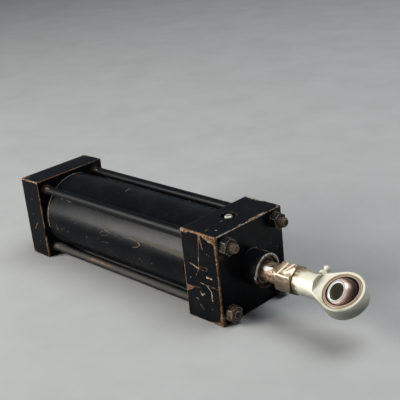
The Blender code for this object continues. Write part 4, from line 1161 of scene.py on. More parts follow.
def build_head(looks):
    body = block_body("head_block", HEAD_BACK, HEAD_DEPTH, -1, HEAD_BACK - OVERCUT)
    end = HEAD_DEPTH + SPIGOT_LENGTH
    pocket = GLAND_RADIUS + SEAT_GAP
    web = ROD_RADIUS + WEB_CLEARANCE
    seal = end - CHAMBER_SEAL_SHOULDER - CHAMBER_SEAL_WIDTH
    seal_radius = CHAMBER_RADIUS + CHAMBER_SEAL_DEPTH
    chamber = GLAND_DEPTH + GLAND_WEB
    bore = [
        (-OVERCUT, 0), (-OVERCUT, pocket), (GLAND_DEPTH, pocket), (GLAND_DEPTH, web), (chamber, web),
        (chamber, CHAMBER_RADIUS), (seal, CHAMBER_RADIUS), (seal, seal_radius),
        (seal + CHAMBER_SEAL_WIDTH, seal_radius), (seal + CHAMBER_SEAL_WIDTH, CHAMBER_RADIUS),
        (end + OVERCUT, CHAMBER_RADIUS), (end + OVERCUT, 0),
    ]
    cut(body, turned("head_bore", bore, ROUND_SIDES, pointing((-1, 0, 0), (HEAD_FRONT, 0, 0))))
    port_station = HEAD_FRONT - HEAD_PORT_STATION
    cut_port(body, port_station, port_station - HEAD_PASSAGE_SHIFT, CHAMBER_RADIUS)
    hole = NEEDLE_RADIUS + SEAT_GAP
    needle_hole = [
        (-OVERCUT, 0), (-OVERCUT, NEEDLE_RECESS_RADIUS + NEEDLE_RECESS_RIM),
        (0, NEEDLE_RECESS_RADIUS + NEEDLE_RECESS_RIM), (NEEDLE_RECESS_RIM, NEEDLE_RECESS_RADIUS),
        (NEEDLE_RECESS_DEPTH, NEEDLE_RECESS_RADIUS), (NEEDLE_RECESS_DEPTH, hole), (NEEDLE_SEAT_DEPTH, hole),
        (NEEDLE_SEAT_DEPTH + NEEDLE_CONE, ORIFICE_RADIUS),
        (HALF_BLOCK - CHAMBER_RADIUS / 2, ORIFICE_RADIUS), (HALF_BLOCK - CHAMBER_RADIUS / 2, 0),
    ]
    down = pointing((0, 0, -1), (NEEDLE_STATION, 0, HALF_BLOCK))
    cut(body, turned("needle_hole", needle_hole, SMALL_SIDES, down))
    marks = on_near_side(HEAD_NEAR_MARKS, HEAD_BACK) + on_top(HEAD_TOP_MARKS, HEAD_BACK)
    marks += on_end(HEAD_FRONT_MARKS, HEAD_FRONT)
    root = (math.radians(-26), math.radians(30))
    marks.append((0.85, circle((HEAD_FRONT, 0, 0), "X", GLAND_RADIUS + 0.6 * MM, 0.4 * MM, 12, *root)))
    recess = (NEEDLE_STATION, 0, HALF_BLOCK)
    marks.append((0.95, circle(recess, "Z", NEEDLE_RECESS_RADIUS + 0.2 * MM, 0.10 * MM)))
    grime_and_painted_light = [(0.0, scaled([(-34.0, 20.5, 2.2), (-26.0, 19.4, 1.6)], lambda u, v: (HEAD_FRONT, u, v)))]
    wear(body, marks, grime_and_painted_light)
    finish(body, looks["paint"], "cylinder", ["head"])


def build_cap(looks):
    body = block_body("rear_block", 0.0, CAP_DEPTH, 1, TIE_ROD_FLOOR)
    recess = rod_profile(CAP_BACK_WALL, CAP_DEPTH + SPIGOT_LENGTH + OVERCUT, CAP_RECESS_RADIUS)
    cut(body, turned("cap_recess", recess, ROUND_SIDES))
    cut_port(body, CAP_PORT_STATION, CAP_PORT_STATION, CAP_RECESS_RADIUS)
    marks = on_near_side(CAP_NEAR_MARKS, 0.0) + on_top(CAP_TOP_MARKS, 0.0) + on_end(CAP_BACK_MARKS, 0.0)
    grime_and_painted_light = [
        (0.0, circle((CAP_DEPTH, y, z), "X", TIE_ROD_RADIUS, 1.2 * MM, 12)) for y, z in TIE_ROD_PLACES
    ]
    wear(body, marks, grime_and_painted_light)
    finish(body, looks["paint"], "cylinder", ["rear_cap"])


def build_tube(looks):
    stations = [TUBE_START + TUBE_END_CHAMFER]
    while stations[-1] < TUBE_END - TUBE_END_CHAMFER - TUBE_RING_STEP:
        stations.append(stations[-1] + TUBE_RING_STEP)
    stations.append(TUBE_END - TUBE_END_CHAMFER)
    profile = [(TUBE_START, TUBE_INNER), (TUBE_START, TUBE_OUTER - TUBE_END_CHAMFER)]
    profile += [(station, TUBE_PAINTED) for station in stations]
    profile += [(TUBE_END, TUBE_OUTER - TUBE_END_CHAMFER), (TUBE_END, TUBE_INNER)]
    body = turned("barrel", profile, WIDE_SIDES)
    wear(body, on_tube(TUBE_MARKS), on_tube(TUBE_REFLECTION_EDGE))
    finish(body, looks["tube_paint"], "cylinder", ["tube"])


# Tie rods and nuts


def build_tie_rods(looks):
    nut_mesh = make_nut()
    for corner, y, z, turn in (
        ("top_near", -TIE_ROD_OFFSET, TIE_ROD_OFFSET, NUT_TURN),
        ("top_far", TIE_ROD_OFFSET, TIE_ROD_OFFSET, 0.0),
        ("bottom_near", -TIE_ROD_OFFSET, -TIE_ROD_OFFSET, NUT_TURN),
        ("bottom_far", TIE_ROD_OFFSET, -TIE_ROD_OFFSET, 0.0),
    ):
        rusty = corner == "bottom_near"
        node = "tie_rod_" + corner
        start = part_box(node)[0][0]
        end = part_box(node)[1][0]
        sections = [
            (start, start, TIE_ROD_RADIUS - TIE_ROD_TIP, 0, 0),
            (start + TIE_ROD_TIP, CAP_DEPTH + PAINT_COAT, TIE_ROD_RADIUS, 0, 0),
            (CAP_DEPTH + 2 * PAINT_COAT, HEAD_BACK - 2 * PAINT_COAT, TIE_ROD_RADIUS + PAINT_COAT, 0, 0),
            (HEAD_BACK - PAINT_COAT, HEAD_FRONT - THREAD_START, TIE_ROD_RADIUS, 0, 0),
            (HEAD_FRONT - THREAD_START, end - TIE_ROD_TIP, TIE_ROD_RADIUS, TIE_ROD_PITCH, THREAD_DEPTH),
            (end, end, TIE_ROD_RADIUS - TIE_ROD_TIP, 0, 0),
        ]
        rod = threaded("stay_" + corner, sections, SMALL_SIDES, Matrix.Translation((0, y, z)))
        wear(rod, *tie_rod_wear(end, y, z, rusty))
        finish(rod, looks["low_tie_paint" if rusty else "tie_paint"], "cylinder", [node])
        rod.data.materials.append(looks["stud"])
        rod.data.materials.append(looks["rusty_end" if corner == "top_near" else "stud_end"])
        for face in rod.data.polygons:
            if face.center.x > HEAD_FRONT:
                face.material_index = 2 if face.normal.x > END_SLOPE else 1
        nut = link_mesh("hexnut_" + corner, nut_mesh.copy())
        seat = Matrix.Translation((HEAD_FRONT + SEAT_GAP, y, z))
        nut.data.transform(seat @ Matrix.Rotation(turn, 4, "X"))
        finish(nut, looks["rusty_nut" if rusty else "nut"], "cylinder", ["front_nut_" + corner])
    bpy.data.meshes.remove(nut_mesh)


def tie_rod_wear(end, y, z, rusty):
    """A rod's marks and grime: pale by the cap and round its tip, and a grey band along the upper near side
    of a rusty one.
    """
    near_cap = (CAP_DEPTH + 4 * MM, y - TIE_ROD_RADIUS * 0.73, z + TIE_ROD_RADIUS * 0.73, 0.7 * MM)
    marks = [
        (0.7, [near_cap, (CAP_DEPTH + 9 * MM, *near_cap[1:3], 0.3 * MM)]),
        (1.0, circle((end, y, z), "X", TIE_ROD_RADIUS - TIE_ROD_TIP, 0.30 * MM, 16)),
    ]
    root = (CAP_DEPTH, y, z, TIE_ROD_RADIUS + 0.5 * MM)
    grime_and_painted_light = [(0.0, [root, (CAP_DEPTH + 4 * MM, y, z, TIE_ROD_RADIUS)])]
    if rusty:
        top = z + TIE_ROD_RADIUS
        crest = (y - TIE_ROD_RADIUS * 0.80, z + TIE_ROD_RADIUS * 0.60)
        grime_and_painted_light.append((0.0, [(CAP_DEPTH, y, top, 4.5 * MM), (CAP_DEPTH + 16 * MM, y, top, 2.5 * MM)]))
        # A grey band along the rod's upper near side.
        grime_and_painted_light.append((0.0, [(CAP_DEPTH + 4 * MM, *crest, 2.0 * MM), (HEAD_BACK, *crest, 2.4 * MM)]))
        marks.append((0.34, [(80 * MM, *crest, 0.9 * MM), (112 * MM, *crest, 0.7 * MM)]))
    return marks, grime_and_painted_light


def make_nut():
    """The mesh of a nut that stands on station 0, with its worn edges stored."""
    body = hexagon("hexnut", NUT_FLATS, 0, NUT_HEIGHT, SMALL_SIDES)
    bore = TIE_ROD_RADIUS + SEAT_GAP
    mouth = bore + NUT_MOUTH
    hole = [
        (-OVERCUT, 0), (-OVERCUT, mouth), (0, mouth), (NUT_MOUTH, bore), (NUT_HEIGHT - NUT_MOUTH, bore),
        (NUT_HEIGHT, mouth), (NUT_HEIGHT + OVERCUT, mouth), (NUT_HEIGHT + OVERCUT, 0),
    ]
    cut(body, turned("nut_bore", hole, SMALL_SIDES))
    wear(body, sharp_lines(body, math.radians(20), 0.22 * MM, 0.7))
    mesh = body.data
    bpy.data.objects.remove(body, do_unlink=True)
    return mesh


# Gland, wiper, needle and rod


def build_gland(looks):
    front = GLAND_FRONT
    back = HEAD_FRONT - GLAND_DEPTH + SEAT_GAP
    bore = ROD_RADIUS + RUNNING_GAP
    pocket_end = front - WIPER_POCKET_DEPTH
    seal_front = HEAD_FRONT - ROD_SEAL_STATION
    seal_back = seal_front - ROD_SEAL_WIDTH
    seal_radius = bore + ROD_SEAL_DEPTH
    ring_front = HEAD_FRONT - GLAND_RING_STATION
    ring_back = ring_front - GLAND_RING_WIDTH
    ring_radius = GLAND_RADIUS - GLAND_RING_DEPTH
    profile = [
        (front, WIPER_POCKET_RADIUS), (front, GLAND_RADIUS - GLAND_CHAMFER),
        (front - GLAND_CHAMFER, GLAND_RADIUS), (HEAD_FRONT, GLAND_RADIUS), (ring_front, GLAND_RADIUS),
        (ring_front, ring_radius), (ring_back, ring_radius), (ring_back, GLAND_RADIUS),
        (back, GLAND_RADIUS), (back, bore), (seal_back, bore), (seal_back, seal_radius),
        (seal_front, seal_radius), (seal_front, bore), (pocket_end, bore),
        (pocket_end, WIPER_POCKET_RADIUS),
    ]
    body = turned("gland_boss", profile, ROUND_SIDES)
    grime_and_painted_light = [(0.0, circle((front - 2.5 * MM, 0, 0), "X", WIPER_POCKET_RADIUS, 2.0 * MM))]
    wear(body, gland_marks(), grime_and_painted_light)
    finish(body, looks["gland"], "cylinder", ["rod_gland"])


def gland_marks():
    """The gland's bare rim, painted pale on its lit side and dim on its shaded side as painted light and
    shade, a worn ridge on its top and two spots of rust.
    """
    face = (GLAND_FRONT, 0, 0)
    inside = (GLAND_FRONT - 1.6 * MM, 0, 0)
    edge = (GLAND_FRONT - 0.8 * MM, 0, 0)
    rim = (GLAND_RADIUS + WIPER_POCKET_RADIUS) / 2
    # The rim is painted pale on the lit side and dim on the shaded side: painted light and shade.
    lit = (math.radians(-88), math.radians(80))
    shaded = (lit[1], math.radians(230))
    lean = math.radians(24)
    ridge = (GLAND_RADIUS * math.sin(lean), GLAND_RADIUS * math.cos(lean))
    marks = [
        (1.0, circle(face, "X", rim + 0.5 * MM, 0.85 * MM, 32, *lit)),
        (0.72, circle(face, "X", WIPER_POCKET_RADIUS + 0.2 * MM, 0.35 * MM, 32, *lit)),
        (0.74, circle(inside, "X", WIPER_POCKET_RADIUS, 1.0 * MM)),
        (0.85, [(HEAD_FRONT, *ridge, 0.7 * MM), (GLAND_FRONT - 3 * MM, *ridge, 0.4 * MM)]),
        (0.45, circle(face, "X", rim + 0.7 * MM, 0.30 * MM, 32, *shaded)),
    ]
    for low, high, size in ((-96, -91, 0.9 * MM), (-112, -104, 1.1 * MM)):
        ends = (math.radians(low), math.radians(high))
        marks.append((0.68, circle(edge, "X", GLAND_RADIUS, size, 2, *ends)))
    return marks


def build_wiper(looks):
    bore = ROD_RADIUS + RUNNING_GAP
    back = GLAND_FRONT - WIPER_POCKET_DEPTH + SEAT_GAP
    front = back + WIPER_WIDTH
    shoulder = front - WIPER_LIP
    rim = WIPER_POCKET_RADIUS - SEAT_GAP
    profile = rounded([
        (back, bore), (front, bore), (shoulder, bore + WIPER_LIP), (shoulder, bore + 1.6 * WIPER_LIP),
        (shoulder, bore + 2.3 * WIPER_LIP), (shoulder, rim), (back, rim),
    ], 0.3 * MM)
    ring = turned("wiper_ring", profile, ROUND_SIDES)
    store_radial_tone(ring.data, vertex_places(ring.data)[:, 1:], bore, WIPER_POCKET_RADIUS)
    finish(ring, looks["wiper"], "cylinder", ["rod_wiper"])


def build_needle(looks):
    cone_end = NEEDLE_SEAT_DEPTH + NEEDLE_CONE - NEEDLE_OPENING - SEAT_GAP
    groove_end = NEEDLE_RING_STATION + NEEDLE_RING_WIDTH
    groove_radius = NEEDLE_RADIUS - NEEDLE_RING_DEPTH
    profile = [
        (NEEDLE_SINK, 0), (NEEDLE_SINK, NEEDLE_RADIUS - NEEDLE_CHAMFER),
        (NEEDLE_SINK + NEEDLE_CHAMFER, NEEDLE_RADIUS), (NEEDLE_RING_STATION, NEEDLE_RADIUS),
        (NEEDLE_RING_STATION, groove_radius), (groove_end, groove_radius), (groove_end, NEEDLE_RADIUS),
        (cone_end - NEEDLE_CONE, NEEDLE_RADIUS), (cone_end, NEEDLE_TIP_RADIUS), (cone_end, 0),
    ]
    down = pointing((0, 0, -1), (NEEDLE_STATION, 0, HALF_BLOCK))
    body = turned("needle_screw", profile, SMALL_SIDES, down)
    half_slot = NEEDLE_SLOT_WIDTH / 2
    slot_low = (-2 * NEEDLE_RADIUS, -half_slot, -NEEDLE_SINK - NEEDLE_SLOT_DEPTH)
    slot = box("needle_slot", slot_low, (2 * NEEDLE_RADIUS, half_slot, OVERCUT))
    head = Matrix.Translation((NEEDLE_STATION, 0, HALF_BLOCK))
    slot.data.transform(head @ Matrix.Rotation(NEEDLE_SLOT_TURN, 4, "Z"))
    cut(body, slot)
    top = HALF_BLOCK - NEEDLE_SINK
    across = Vector((math.cos(NEEDLE_SLOT_TURN), math.sin(NEEDLE_SLOT_TURN), 0)) * NEEDLE_RADIUS
    middle = Vector((NEEDLE_STATION, 0, top - NEEDLE_SLOT_DEPTH / 2))
    # Painted shade along the slot, which darkens the recess.
    grime_and_painted_light = [(0.0, [(*(middle - 0.6 * across), 1.15 * MM), (*(middle + 0.6 * across), 1.15 * MM)])]
    wear(body, [(0.5, [(NEEDLE_STATION, 0, top, 0.2 * MM)])], grime_and_painted_light)
    finish(body, looks["needle"], "needle", ["cushion_needle"])


def fine_sections(start, end, radius):
    """Plain sections about 1 mm long, so that a rod's marks can be stored."""
    count = round((end - start) / MM)
    step = (end - start) / count
    return [(start + index * step, start + (index + 1) * step, radius, 0, 0) for index in range(count)]


def build_rod(looks):
    stud_start = PISTON_BACK - SEAT_GAP - PISTON_NUT_HEIGHT - STUD_PROUD
    neck_start = PISTON_BACK + PISTON_LENGTH + SEAT_GAP
    neck_end = neck_start + SLEEVE_LENGTH + SEAT_GAP
    thread_end = ROD_SHOULDER + ROD_THREAD_LENGTH
    sections = [
        (stud_start, stud_start + ROD_CHAMFER, STUD_RADIUS - THREAD_DEPTH, 0, 0),
        (stud_start + ROD_CHAMFER, PISTON_BACK - SEAT_GAP, STUD_RADIUS, ROD_THREAD_PITCH, THREAD_DEPTH),
        (PISTON_BACK, neck_start, STUD_RADIUS, 0, 0),
        (neck_start, neck_end, ROD_NECK_RADIUS, 0, 0),
        (neck_end, GLAND_FRONT - 2 * MM, ROD_RADIUS, 0, 0),
        *fine_sections(GLAND_FRONT - 2 * MM, ROD_SHOULDER - ROD_CHAMFER, ROD_RADIUS),
        (ROD_SHOULDER, ROD_SHOULDER, ROD_RADIUS - ROD_CHAMFER, 0, 0),
        (ROD_SHOULDER, thread_end - ROD_CHAMFER, ROD_THREAD_RADIUS, ROD_THREAD_PITCH, THREAD_DEPTH),
        (thread_end, thread_end, ROD_THREAD_RADIUS - ROD_CHAMFER, 0, 0),
    ]
    body = threaded("chromed_rod", sections, ROUND_SIDES)
    # A painted glint on the rod's near upper side, just out of the gland.
    painted_glint = Vector((GLAND_FRONT + 3 * MM, -0.76 * ROD_RADIUS, 0.65 * ROD_RADIUS))
    beside = Vector((GLAND_FRONT + 9 * MM, -0.60 * ROD_RADIUS, 0.80 * ROD_RADIUS))
    store_depth(body.data, "wear", capsules([(1.0, [(*painted_glint, 2.3 * MM), (*beside, 0.8 * MM)])]))
    finish(body, looks["chrome"], "rod", ["piston_rod"])


# Rod end


def eye_outline():
    reach = math.hypot(WEDGE_START, WEDGE_HALF_WIDTH)
    tangent = math.pi - math.atan2(WEDGE_HALF_WIDTH, WEDGE_START) - math.acos(EYE_RADIUS / reach)
    points = arc((0, 0), EYE_RADIUS, -tangent, tangent, ROUND_SIDES)
    return points + [(-WEDGE_START, WEDGE_HALF_WIDTH), (-WEDGE_START, -WEDGE_HALF_WIDTH)]


def eye_plate():
    shape = bmesh.new()
    outline = [shape.verts.new((x, y, -EYE_HALF_WIDTH)) for x, y in eye_outline()]
    shape.faces.new(outline)
    extrude(shape, (0, 0, 2 * EYE_HALF_WIDTH))
    rims = [edge for edge in shape.edges if abs(edge.verts[0].co.z - edge.verts[1].co.z) < MERGE_DISTANCE]
    bmesh.ops.bevel(shape, geom=rims, offset=EYE_ROUNDING, segments=4, profile=0.5, affect="EDGES")
    return from_bmesh("eye_body", shape)


def build_rod_end(looks):
    hex_end = -EYE_OFFSET + HEX_LENGTH
    neck = rod_profile(hex_end - OVERCUT, -EYE_RADIUS + OVERCUT, END_NECK_RADIUS)
    body = turned("eye_body", neck, ROUND_SIDES)
    for side in (1, -1):
        spotface = rod_profile(0, 2 * END_NECK_RADIUS, SPOTFACE_RADIUS)
        facing = pointing((0, 0, side), (0, 0, side * EYE_HALF_WIDTH))
        cut(body, turned("spotface", spotface, WIDE_SIDES, facing))
    grip = hexagon("eye_hex", HEX_FLATS, -EYE_OFFSET, hex_end, ROUND_SIDES)
    grip.data.transform(Matrix.Rotation(HEX_TURN, 4, "X"))
    # Pale lines along the hexagon's lit upper near corner are painted glints.
    glints_and_strokes = sharp_lines(grip, math.radians(15), 0.34 * MM, 1.0, at_near_corner)
    glints_and_strokes += hexagon_glint_strokes()
    join(body, eye_plate(), grip)
    upright = pointing((0, 0, 1))
    hole = RACE_RADIUS + SEAT_GAP
    mouth = hole + EYE_MOUTH
    race_hole = [
        (-EYE_HALF_WIDTH - OVERCUT, 0), (-EYE_HALF_WIDTH - OVERCUT, mouth), (-EYE_HALF_WIDTH, mouth),
        (-EYE_HALF_WIDTH + EYE_MOUTH, hole), (EYE_HALF_WIDTH - EYE_MOUTH, hole), (EYE_HALF_WIDTH, mouth),
        (EYE_HALF_WIDTH + OVERCUT, mouth), (EYE_HALF_WIDTH + OVERCUT, 0),
    ]
    cut(body, turned("race_hole", race_hole, ROUND_SIDES, upright))
    socket = ROD_THREAD_RADIUS + SEAT_GAP
    socket_end = -EYE_OFFSET + SOCKET_DEPTH
    socket_hole = [
        (-EYE_OFFSET - OVERCUT, 0), (-EYE_OFFSET - OVERCUT, socket + SOCKET_CHAMFER),
        (-EYE_OFFSET, socket + SOCKET_CHAMFER), (-EYE_OFFSET + SOCKET_CHAMFER, socket), (socket_end, socket),
        (socket_end + socket * DRILL_SLOPE, 0),
    ]
    cut(body, turned("socket_hole", socket_hole, ROUND_SIDES))
    nipple_hole = rod_profile(-GREASE_HOLE_RADIUS, END_NECK_RADIUS + OVERCUT, NIPPLE_THREAD_RADIUS + SEAT_GAP)
    cut(body, turned("nipple_hole", nipple_hole, SMALL_SIDES, pointing((0, 1, 0), (-NIPPLE_STATION, 0, 0))))
    passage = rod_profile(-NIPPLE_STATION, -RACE_RADIUS + OVERCUT, GREASE_HOLE_RADIUS)
    cut(body, turned("grease_passage", passage, SMALL_SIDES))
    body.data.transform(EYE_FRAME)
    line = circle((0, 0, EYE_HALF_WIDTH), "Z", hole, EYE_LINE, 48)
    marks = [
        (tone, [(*(EYE_FRAME @ Vector(point[:3])), point[3]) for point in points])
        for tone, points in [(0.45, line)] + glints_and_strokes
    ]
    ridge = (0.44 * END_NECK_RADIUS, 0.90 * END_NECK_RADIUS)
    grime_and_painted_light = [
        (0.0, [(EYE_STATION - EYE_OFFSET, 0, 0, 15 * MM), (EYE_STATION + hex_end - 3 * MM, 0, 0, 13 * MM)]),
        (0.0, [(EYE_STATION + hex_end, *ridge, 5.0 * MM), (EYE_STATION - NIPPLE_STATION, *ridge, 4.2 * MM)]),
    ]
    wear(body, marks, grime_and_painted_light)
    finish(body, looks["zinc"], "rod", ["rod_end_body"])


def at_near_corner(place):
    """Whether a place on the turned hexagon lies along its upper near corner."""
    return place.y < -HEX_FLATS / 4 and place.z > HEX_FLATS * 0.45


def hexagon_glint_strokes():
    """Pale strokes on the hexagon's upper flat, across from its end and its near corner: partly wear, partly
    painted glints.
    """
    strokes = []
    for tone, points in HEXAGON_GLINT_STROKES:
        run = []
        for along, across, radius in points:
            place = (-EYE_OFFSET + along * MM, -HEX_FLATS / math.sqrt(12) + across * MM, HEX_FLATS / 2)
            run.append((*place, radius * MM))
        strokes.append((tone, run))
    return strokes


def build_race(looks):
    hollow = BALL_RADIUS + SEAT_GAP
    sweep = math.asin((RACE_HALF_WIDTH - RACE_CHAMFER) / hollow)
    inside = arc((0, 0), hollow, math.pi / 2 - sweep, math.pi / 2 + sweep, 16)
    mouth = inside[0][1]
    ring = mouth + RACE_FACE_RING
    profile = inside + rounded([
        (-RACE_HALF_WIDTH, mouth), (-RACE_HALF_WIDTH, ring),
        (-RACE_HALF_WIDTH, RACE_RADIUS - RACE_CHAMFER), (-RACE_HALF_WIDTH + RACE_CHAMFER, RACE_RADIUS),
        (RACE_HALF_WIDTH - RACE_CHAMFER, RACE_RADIUS), (RACE_HALF_WIDTH, RACE_RADIUS - RACE_CHAMFER),
        (RACE_HALF_WIDTH, ring), (RACE_HALF_WIDTH, mouth),
    ], 0.3 * MM)
    body = turned("race_ring", profile, ROUND_SIDES, EYE_FRAME @ pointing((0, 0, 1)))
    store_radial_tone(body.data, places_in(EYE_FRAME, body.data), mouth, RACE_RADIUS)
    finish(body, looks["race"], "rod", ["rod_end_race"])


def build_ball(looks):
    sweep = math.asin(BALL_HALF_WIDTH / BALL_RADIUS)
    outside = arc((0, 0), BALL_RADIUS, math.pi / 2 + sweep, math.pi / 2 - sweep, 32)
    rim = BALL_HALF_WIDTH - BALL_CHAMFER
    profile = outside + [
        (BALL_HALF_WIDTH, BALL_BORE_RADIUS + 1.5 * BALL_CHAMFER),
        (BALL_HALF_WIDTH, BALL_BORE_RADIUS + BALL_CHAMFER), (rim, BALL_BORE_RADIUS),
        (rim - BALL_CHAMFER, BALL_BORE_RADIUS), (BALL_CHAMFER - rim, BALL_BORE_RADIUS),
        (-rim, BALL_BORE_RADIUS), (-BALL_HALF_WIDTH, BALL_BORE_RADIUS + BALL_CHAMFER),
        (-BALL_HALF_WIDTH, BALL_BORE_RADIUS + 1.5 * BALL_CHAMFER),
    ]
    body = turned("swivel_ball", profile, ROUND_SIDES, BALL_FRAME @ pointing((0, 0, 1)))
    local = places_in(BALL_FRAME, body.data)
    off_face = BALL_HALF_WIDTH - np.abs(local[:, 2])
    radius = np.hypot(local[:, 0], local[:, 1])
    # Tone: grey faces, a side that falls from a painted highlight to painted shade away from the faces, and
    # rims painted white as a highlight.
    side = np.where(off_face < 0.01 * MM, 0.55, np.clip(0.47 - 0.07 * off_face / MM, 0.0, 0.47))
    rims = radius < BALL_BORE_RADIUS + 1.2 * BALL_CHAMFER
    store(body.data, "tone", np.where(rims, 1.0, side))
    # The bore inside its rims is marked for painted shade.
    store(body.data, "wear", np.where(rims & (off_face > 1.5 * BALL_CHAMFER), 1.0, -1.0))
    finish(body, looks["ball"], "ball", ["rod_end_ball"])


def build_nipple(looks):
    seat = END_NECK_RADIUS + SEAT_GAP
    hex_top = seat + NIPPLE_HEX_HEIGHT
    neck_top = hex_top + NIPPLE_NECK_HEIGHT
    top = neck_top + NIPPLE_HEAD_HEIGHT
    collar = seat + OVERCUT / 2
    stem = rounded([
        (seat - NIPPLE_THREAD_LENGTH, 0), (seat - NIPPLE_THREAD_LENGTH, NIPPLE_THREAD_RADIUS),
        (collar, NIPPLE_THREAD_RADIUS), (collar, NIPPLE_THROAT_RADIUS), (neck_top, NIPPLE_THROAT_RADIUS),
        (neck_top + NIPPLE_HEAD_RADIUS - NIPPLE_THROAT_RADIUS, NIPPLE_HEAD_RADIUS),
        (top - NIPPLE_HEAD_CONE, NIPPLE_HEAD_RADIUS), (top, NIPPLE_MOUTH_RADIUS + NIPPLE_LIP),
        (top, NIPPLE_MOUTH_RADIUS), (top - NIPPLE_MOUTH_RADIUS, 0),
    ], 0.35 * MM)
    body = hexagon("grease_fitting", NIPPLE_FLATS, seat, hex_top, SMALL_SIDES)
    join(body, turned("nipple_stem", stem, SMALL_SIDES))
    body.data.transform(EYE_FRAME @ pointing((0, 1, 0), (-NIPPLE_STATION, 0, 0)))
    store_fields(body.data, capsules([]), capsules([]))
    finish(body, looks["zinc"], "rod", ["grease_nipple"])


# Inner pieces, which keep their solids


def dress_inner_pieces():
    rubber = plain_look("seal_rubber", (0.012, 0.012, 0.013), (0.028, 0.027, 0.027), 0.62, 0.0, 3.0, 0.02)
    urethane = plain_look("seal_urethane", (0.12, 0.065, 0.030), (0.24, 0.14, 0.065), 0.45, 0.0, 4.0, 0.02)
    aluminium = plain_look("turned_aluminium", (0.50, 0.50, 0.51), (0.66, 0.66, 0.67), 0.36, 1.0, 6.0, 0.02)
    steel = plain_look("ground_steel", (0.42, 0.41, 0.40), (0.62, 0.61, 0.60), 0.26, 1.0, 5.0, 0.01)
    dark = plain_look("black_oxide", (0.020, 0.019, 0.018), (0.055, 0.048, 0.042), 0.46, 0.7, 4.0, 0.02)
    plastic = plain_look("wear_plastic", (0.22, 0.17, 0.12), (0.34, 0.27, 0.19), 0.48, 0.0, 5.0, 0.01)
    finishes = {
        "front_tube_seal": rubber, "rear_tube_seal": rubber, "gland_o_ring": rubber, "rod_seal": rubber,
        "needle_o_ring": rubber, "stud_o_ring": rubber, "front_piston_seal": rubber,
        "rear_piston_seal": rubber, "cushion_seal": urethane, "piston": aluminium,
        "cushion_sleeve": steel, "piston_nut": dark, "wear_ring": plastic,
    }
    for node, look in finishes.items():
        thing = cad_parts[node]
        for slot in thing.material_slots:
            slot.material = look
        if not thing.material_slots:
            thing.data.materials.append(look)


# Floor, light and camera


def build_floor():
    shape = bmesh.new()
    reach = 3.0
    corners = ((-reach, -reach), (reach, -reach), (reach, reach), (-reach, reach))
    shape.faces.new([shape.verts.new((x, y, -HALF_BLOCK)) for x, y in corners])
    floor = from_bmesh("floor", shape)
    look = Look("floor_pale")
    cloud = look.noise(60.0, 4.0, 0.6)
    tint = look.colours(cloud, (0.35, (0.34, 0.342, 0.335)), (0.65, (0.37, 0.372, 0.365)))
    look.surface(Base_Color=tint, Roughness=0.85)
    floor.data.materials.append(look.material)


def add_panel(name, target, direction, distance, size, power, colour):
    """A soft rectangular light that faces a target from a direction."""
    data = bpy.data.lights.new(name, "AREA")
    data.shape = "RECTANGLE"
    data.size, data.size_y = size
    data.energy = power
    data.color = colour
    lamp = bpy.data.objects.new(name, data)
    outward = Vector(direction).normalized()
    lamp.location = Vector(target) + outward * distance
    lamp.rotation_euler = outward.to_track_quat("Z", "Y").to_euler()
    bpy.context.collection.objects.link(lamp)


def light_scene():
    world = bpy.data.worlds.new("studio")
    world.use_nodes = True
    background = world.node_tree.nodes["Background"]
    background.inputs["Color"].default_value = (0.80, 0.90, 1.0, 1.0)
    background.inputs["Strength"].default_value = 0.15
    bpy.context.scene.world = world
    warm = (1.0, 0.97, 0.93)
    cool = (0.93, 0.97, 1.0)
    add_panel("window", (0.508, -0.382, 0.0), (-0.652, -0.578, 0.328), 1.86, (1.17, 1.36), 74.0, warm)
    add_panel("sky", (0.25, 0.1, 0.0), (0.15, 0.25, 1.0), 2.2, (1.5, 1.5), 38.0, cool)
    bpy.context.scene.view_settings.view_transform = "Standard"


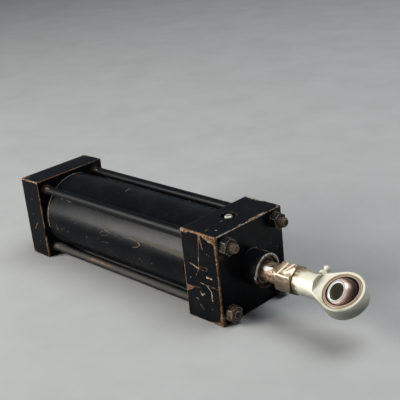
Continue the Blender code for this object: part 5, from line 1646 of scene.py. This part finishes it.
def place_camera():
    """The photograph's view: a target, a distance, two angles and a roll."""
    target = Vector((0.2020, 0.0, 0.0447))
    distance = 0.7186
    azimuth = math.radians(47.205)
    elevation = math.radians(21.351)
    roll = math.radians(-6.09)
    flat = math.cos(elevation)
    back = Vector((math.sin(azimuth) * flat, -math.cos(azimuth) * flat, math.sin(elevation)))
    level = Vector((math.cos(azimuth), math.sin(azimuth), 0.0))
    above = back.cross(level)
    right = level * math.cos(roll) + above * math.sin(roll)
    up = back.cross(right)
    data = bpy.data.cameras.new("camera")
    data.lens = 79.95
    data.sensor_width = 36.0
    data.clip_start = 0.01
    camera = bpy.data.objects.new("camera", data)
    turn = Matrix((right, up, back)).transposed().to_4x4()
    camera.matrix_world = Matrix.Translation(target + back * distance) @ turn
    bpy.context.collection.objects.link(camera)
    bpy.context.scene.camera = camera


def main():
    looks = {
        "paint": paint_look("block_paint", gloss=block_gloss_painted_shade),
        "tube_paint": tube_look(),
        "tie_paint": paint_look("tie_rod_paint", (0.32, 0.44), 0.4, gloss=0.12),
        "low_tie_paint": paint_look("low_tie_rod_paint", (0.40, 0.52), 0.7, gloss=0.18, dirt_and_painted_light=GREY_DUST),
        "gland": paint_look("gland_paint", (0.30, 0.45), 0.22, SILVER, 0.45),
        "nut": nut_look("nut_steel", 0.54, (0.045, 0.026, 0.017)),
        "rusty_nut": nut_look("rusty_nut_steel", 0.44, (0.100, 0.052, 0.030)),
        "stud": stud_look("stud_side", (0.018, 0.012, 0.009), (0.090, 0.055, 0.034), (0.25, 0.17, 0.10)),
        "stud_end": stud_look("stud_end", (0.006, 0.005, 0.005), (0.018, 0.014, 0.010), (0.05, 0.035, 0.025)),
        "rusty_end": stud_look(
            "rusty_stud_end", (0.030, 0.019, 0.013), (0.120, 0.070, 0.038), (0.34, 0.20, 0.09)),
        "chrome": chrome_look(),
        "zinc": zinc_look(),
        "race": race_look(),
        "ball": bright_look(),
        "needle": needle_look(),
        "wiper": wiper_look(),
    }
    build_head(looks)
    build_cap(looks)
    build_tube(looks)
    build_tie_rods(looks)
    build_gland(looks)
    build_wiper(looks)
    build_needle(looks)
    build_rod(looks)
    build_rod_end(looks)
    build_race(looks)
    build_ball(looks)
    build_nipple(looks)
    dress_inner_pieces()
    build_floor()
    light_scene()
    place_camera()


main()
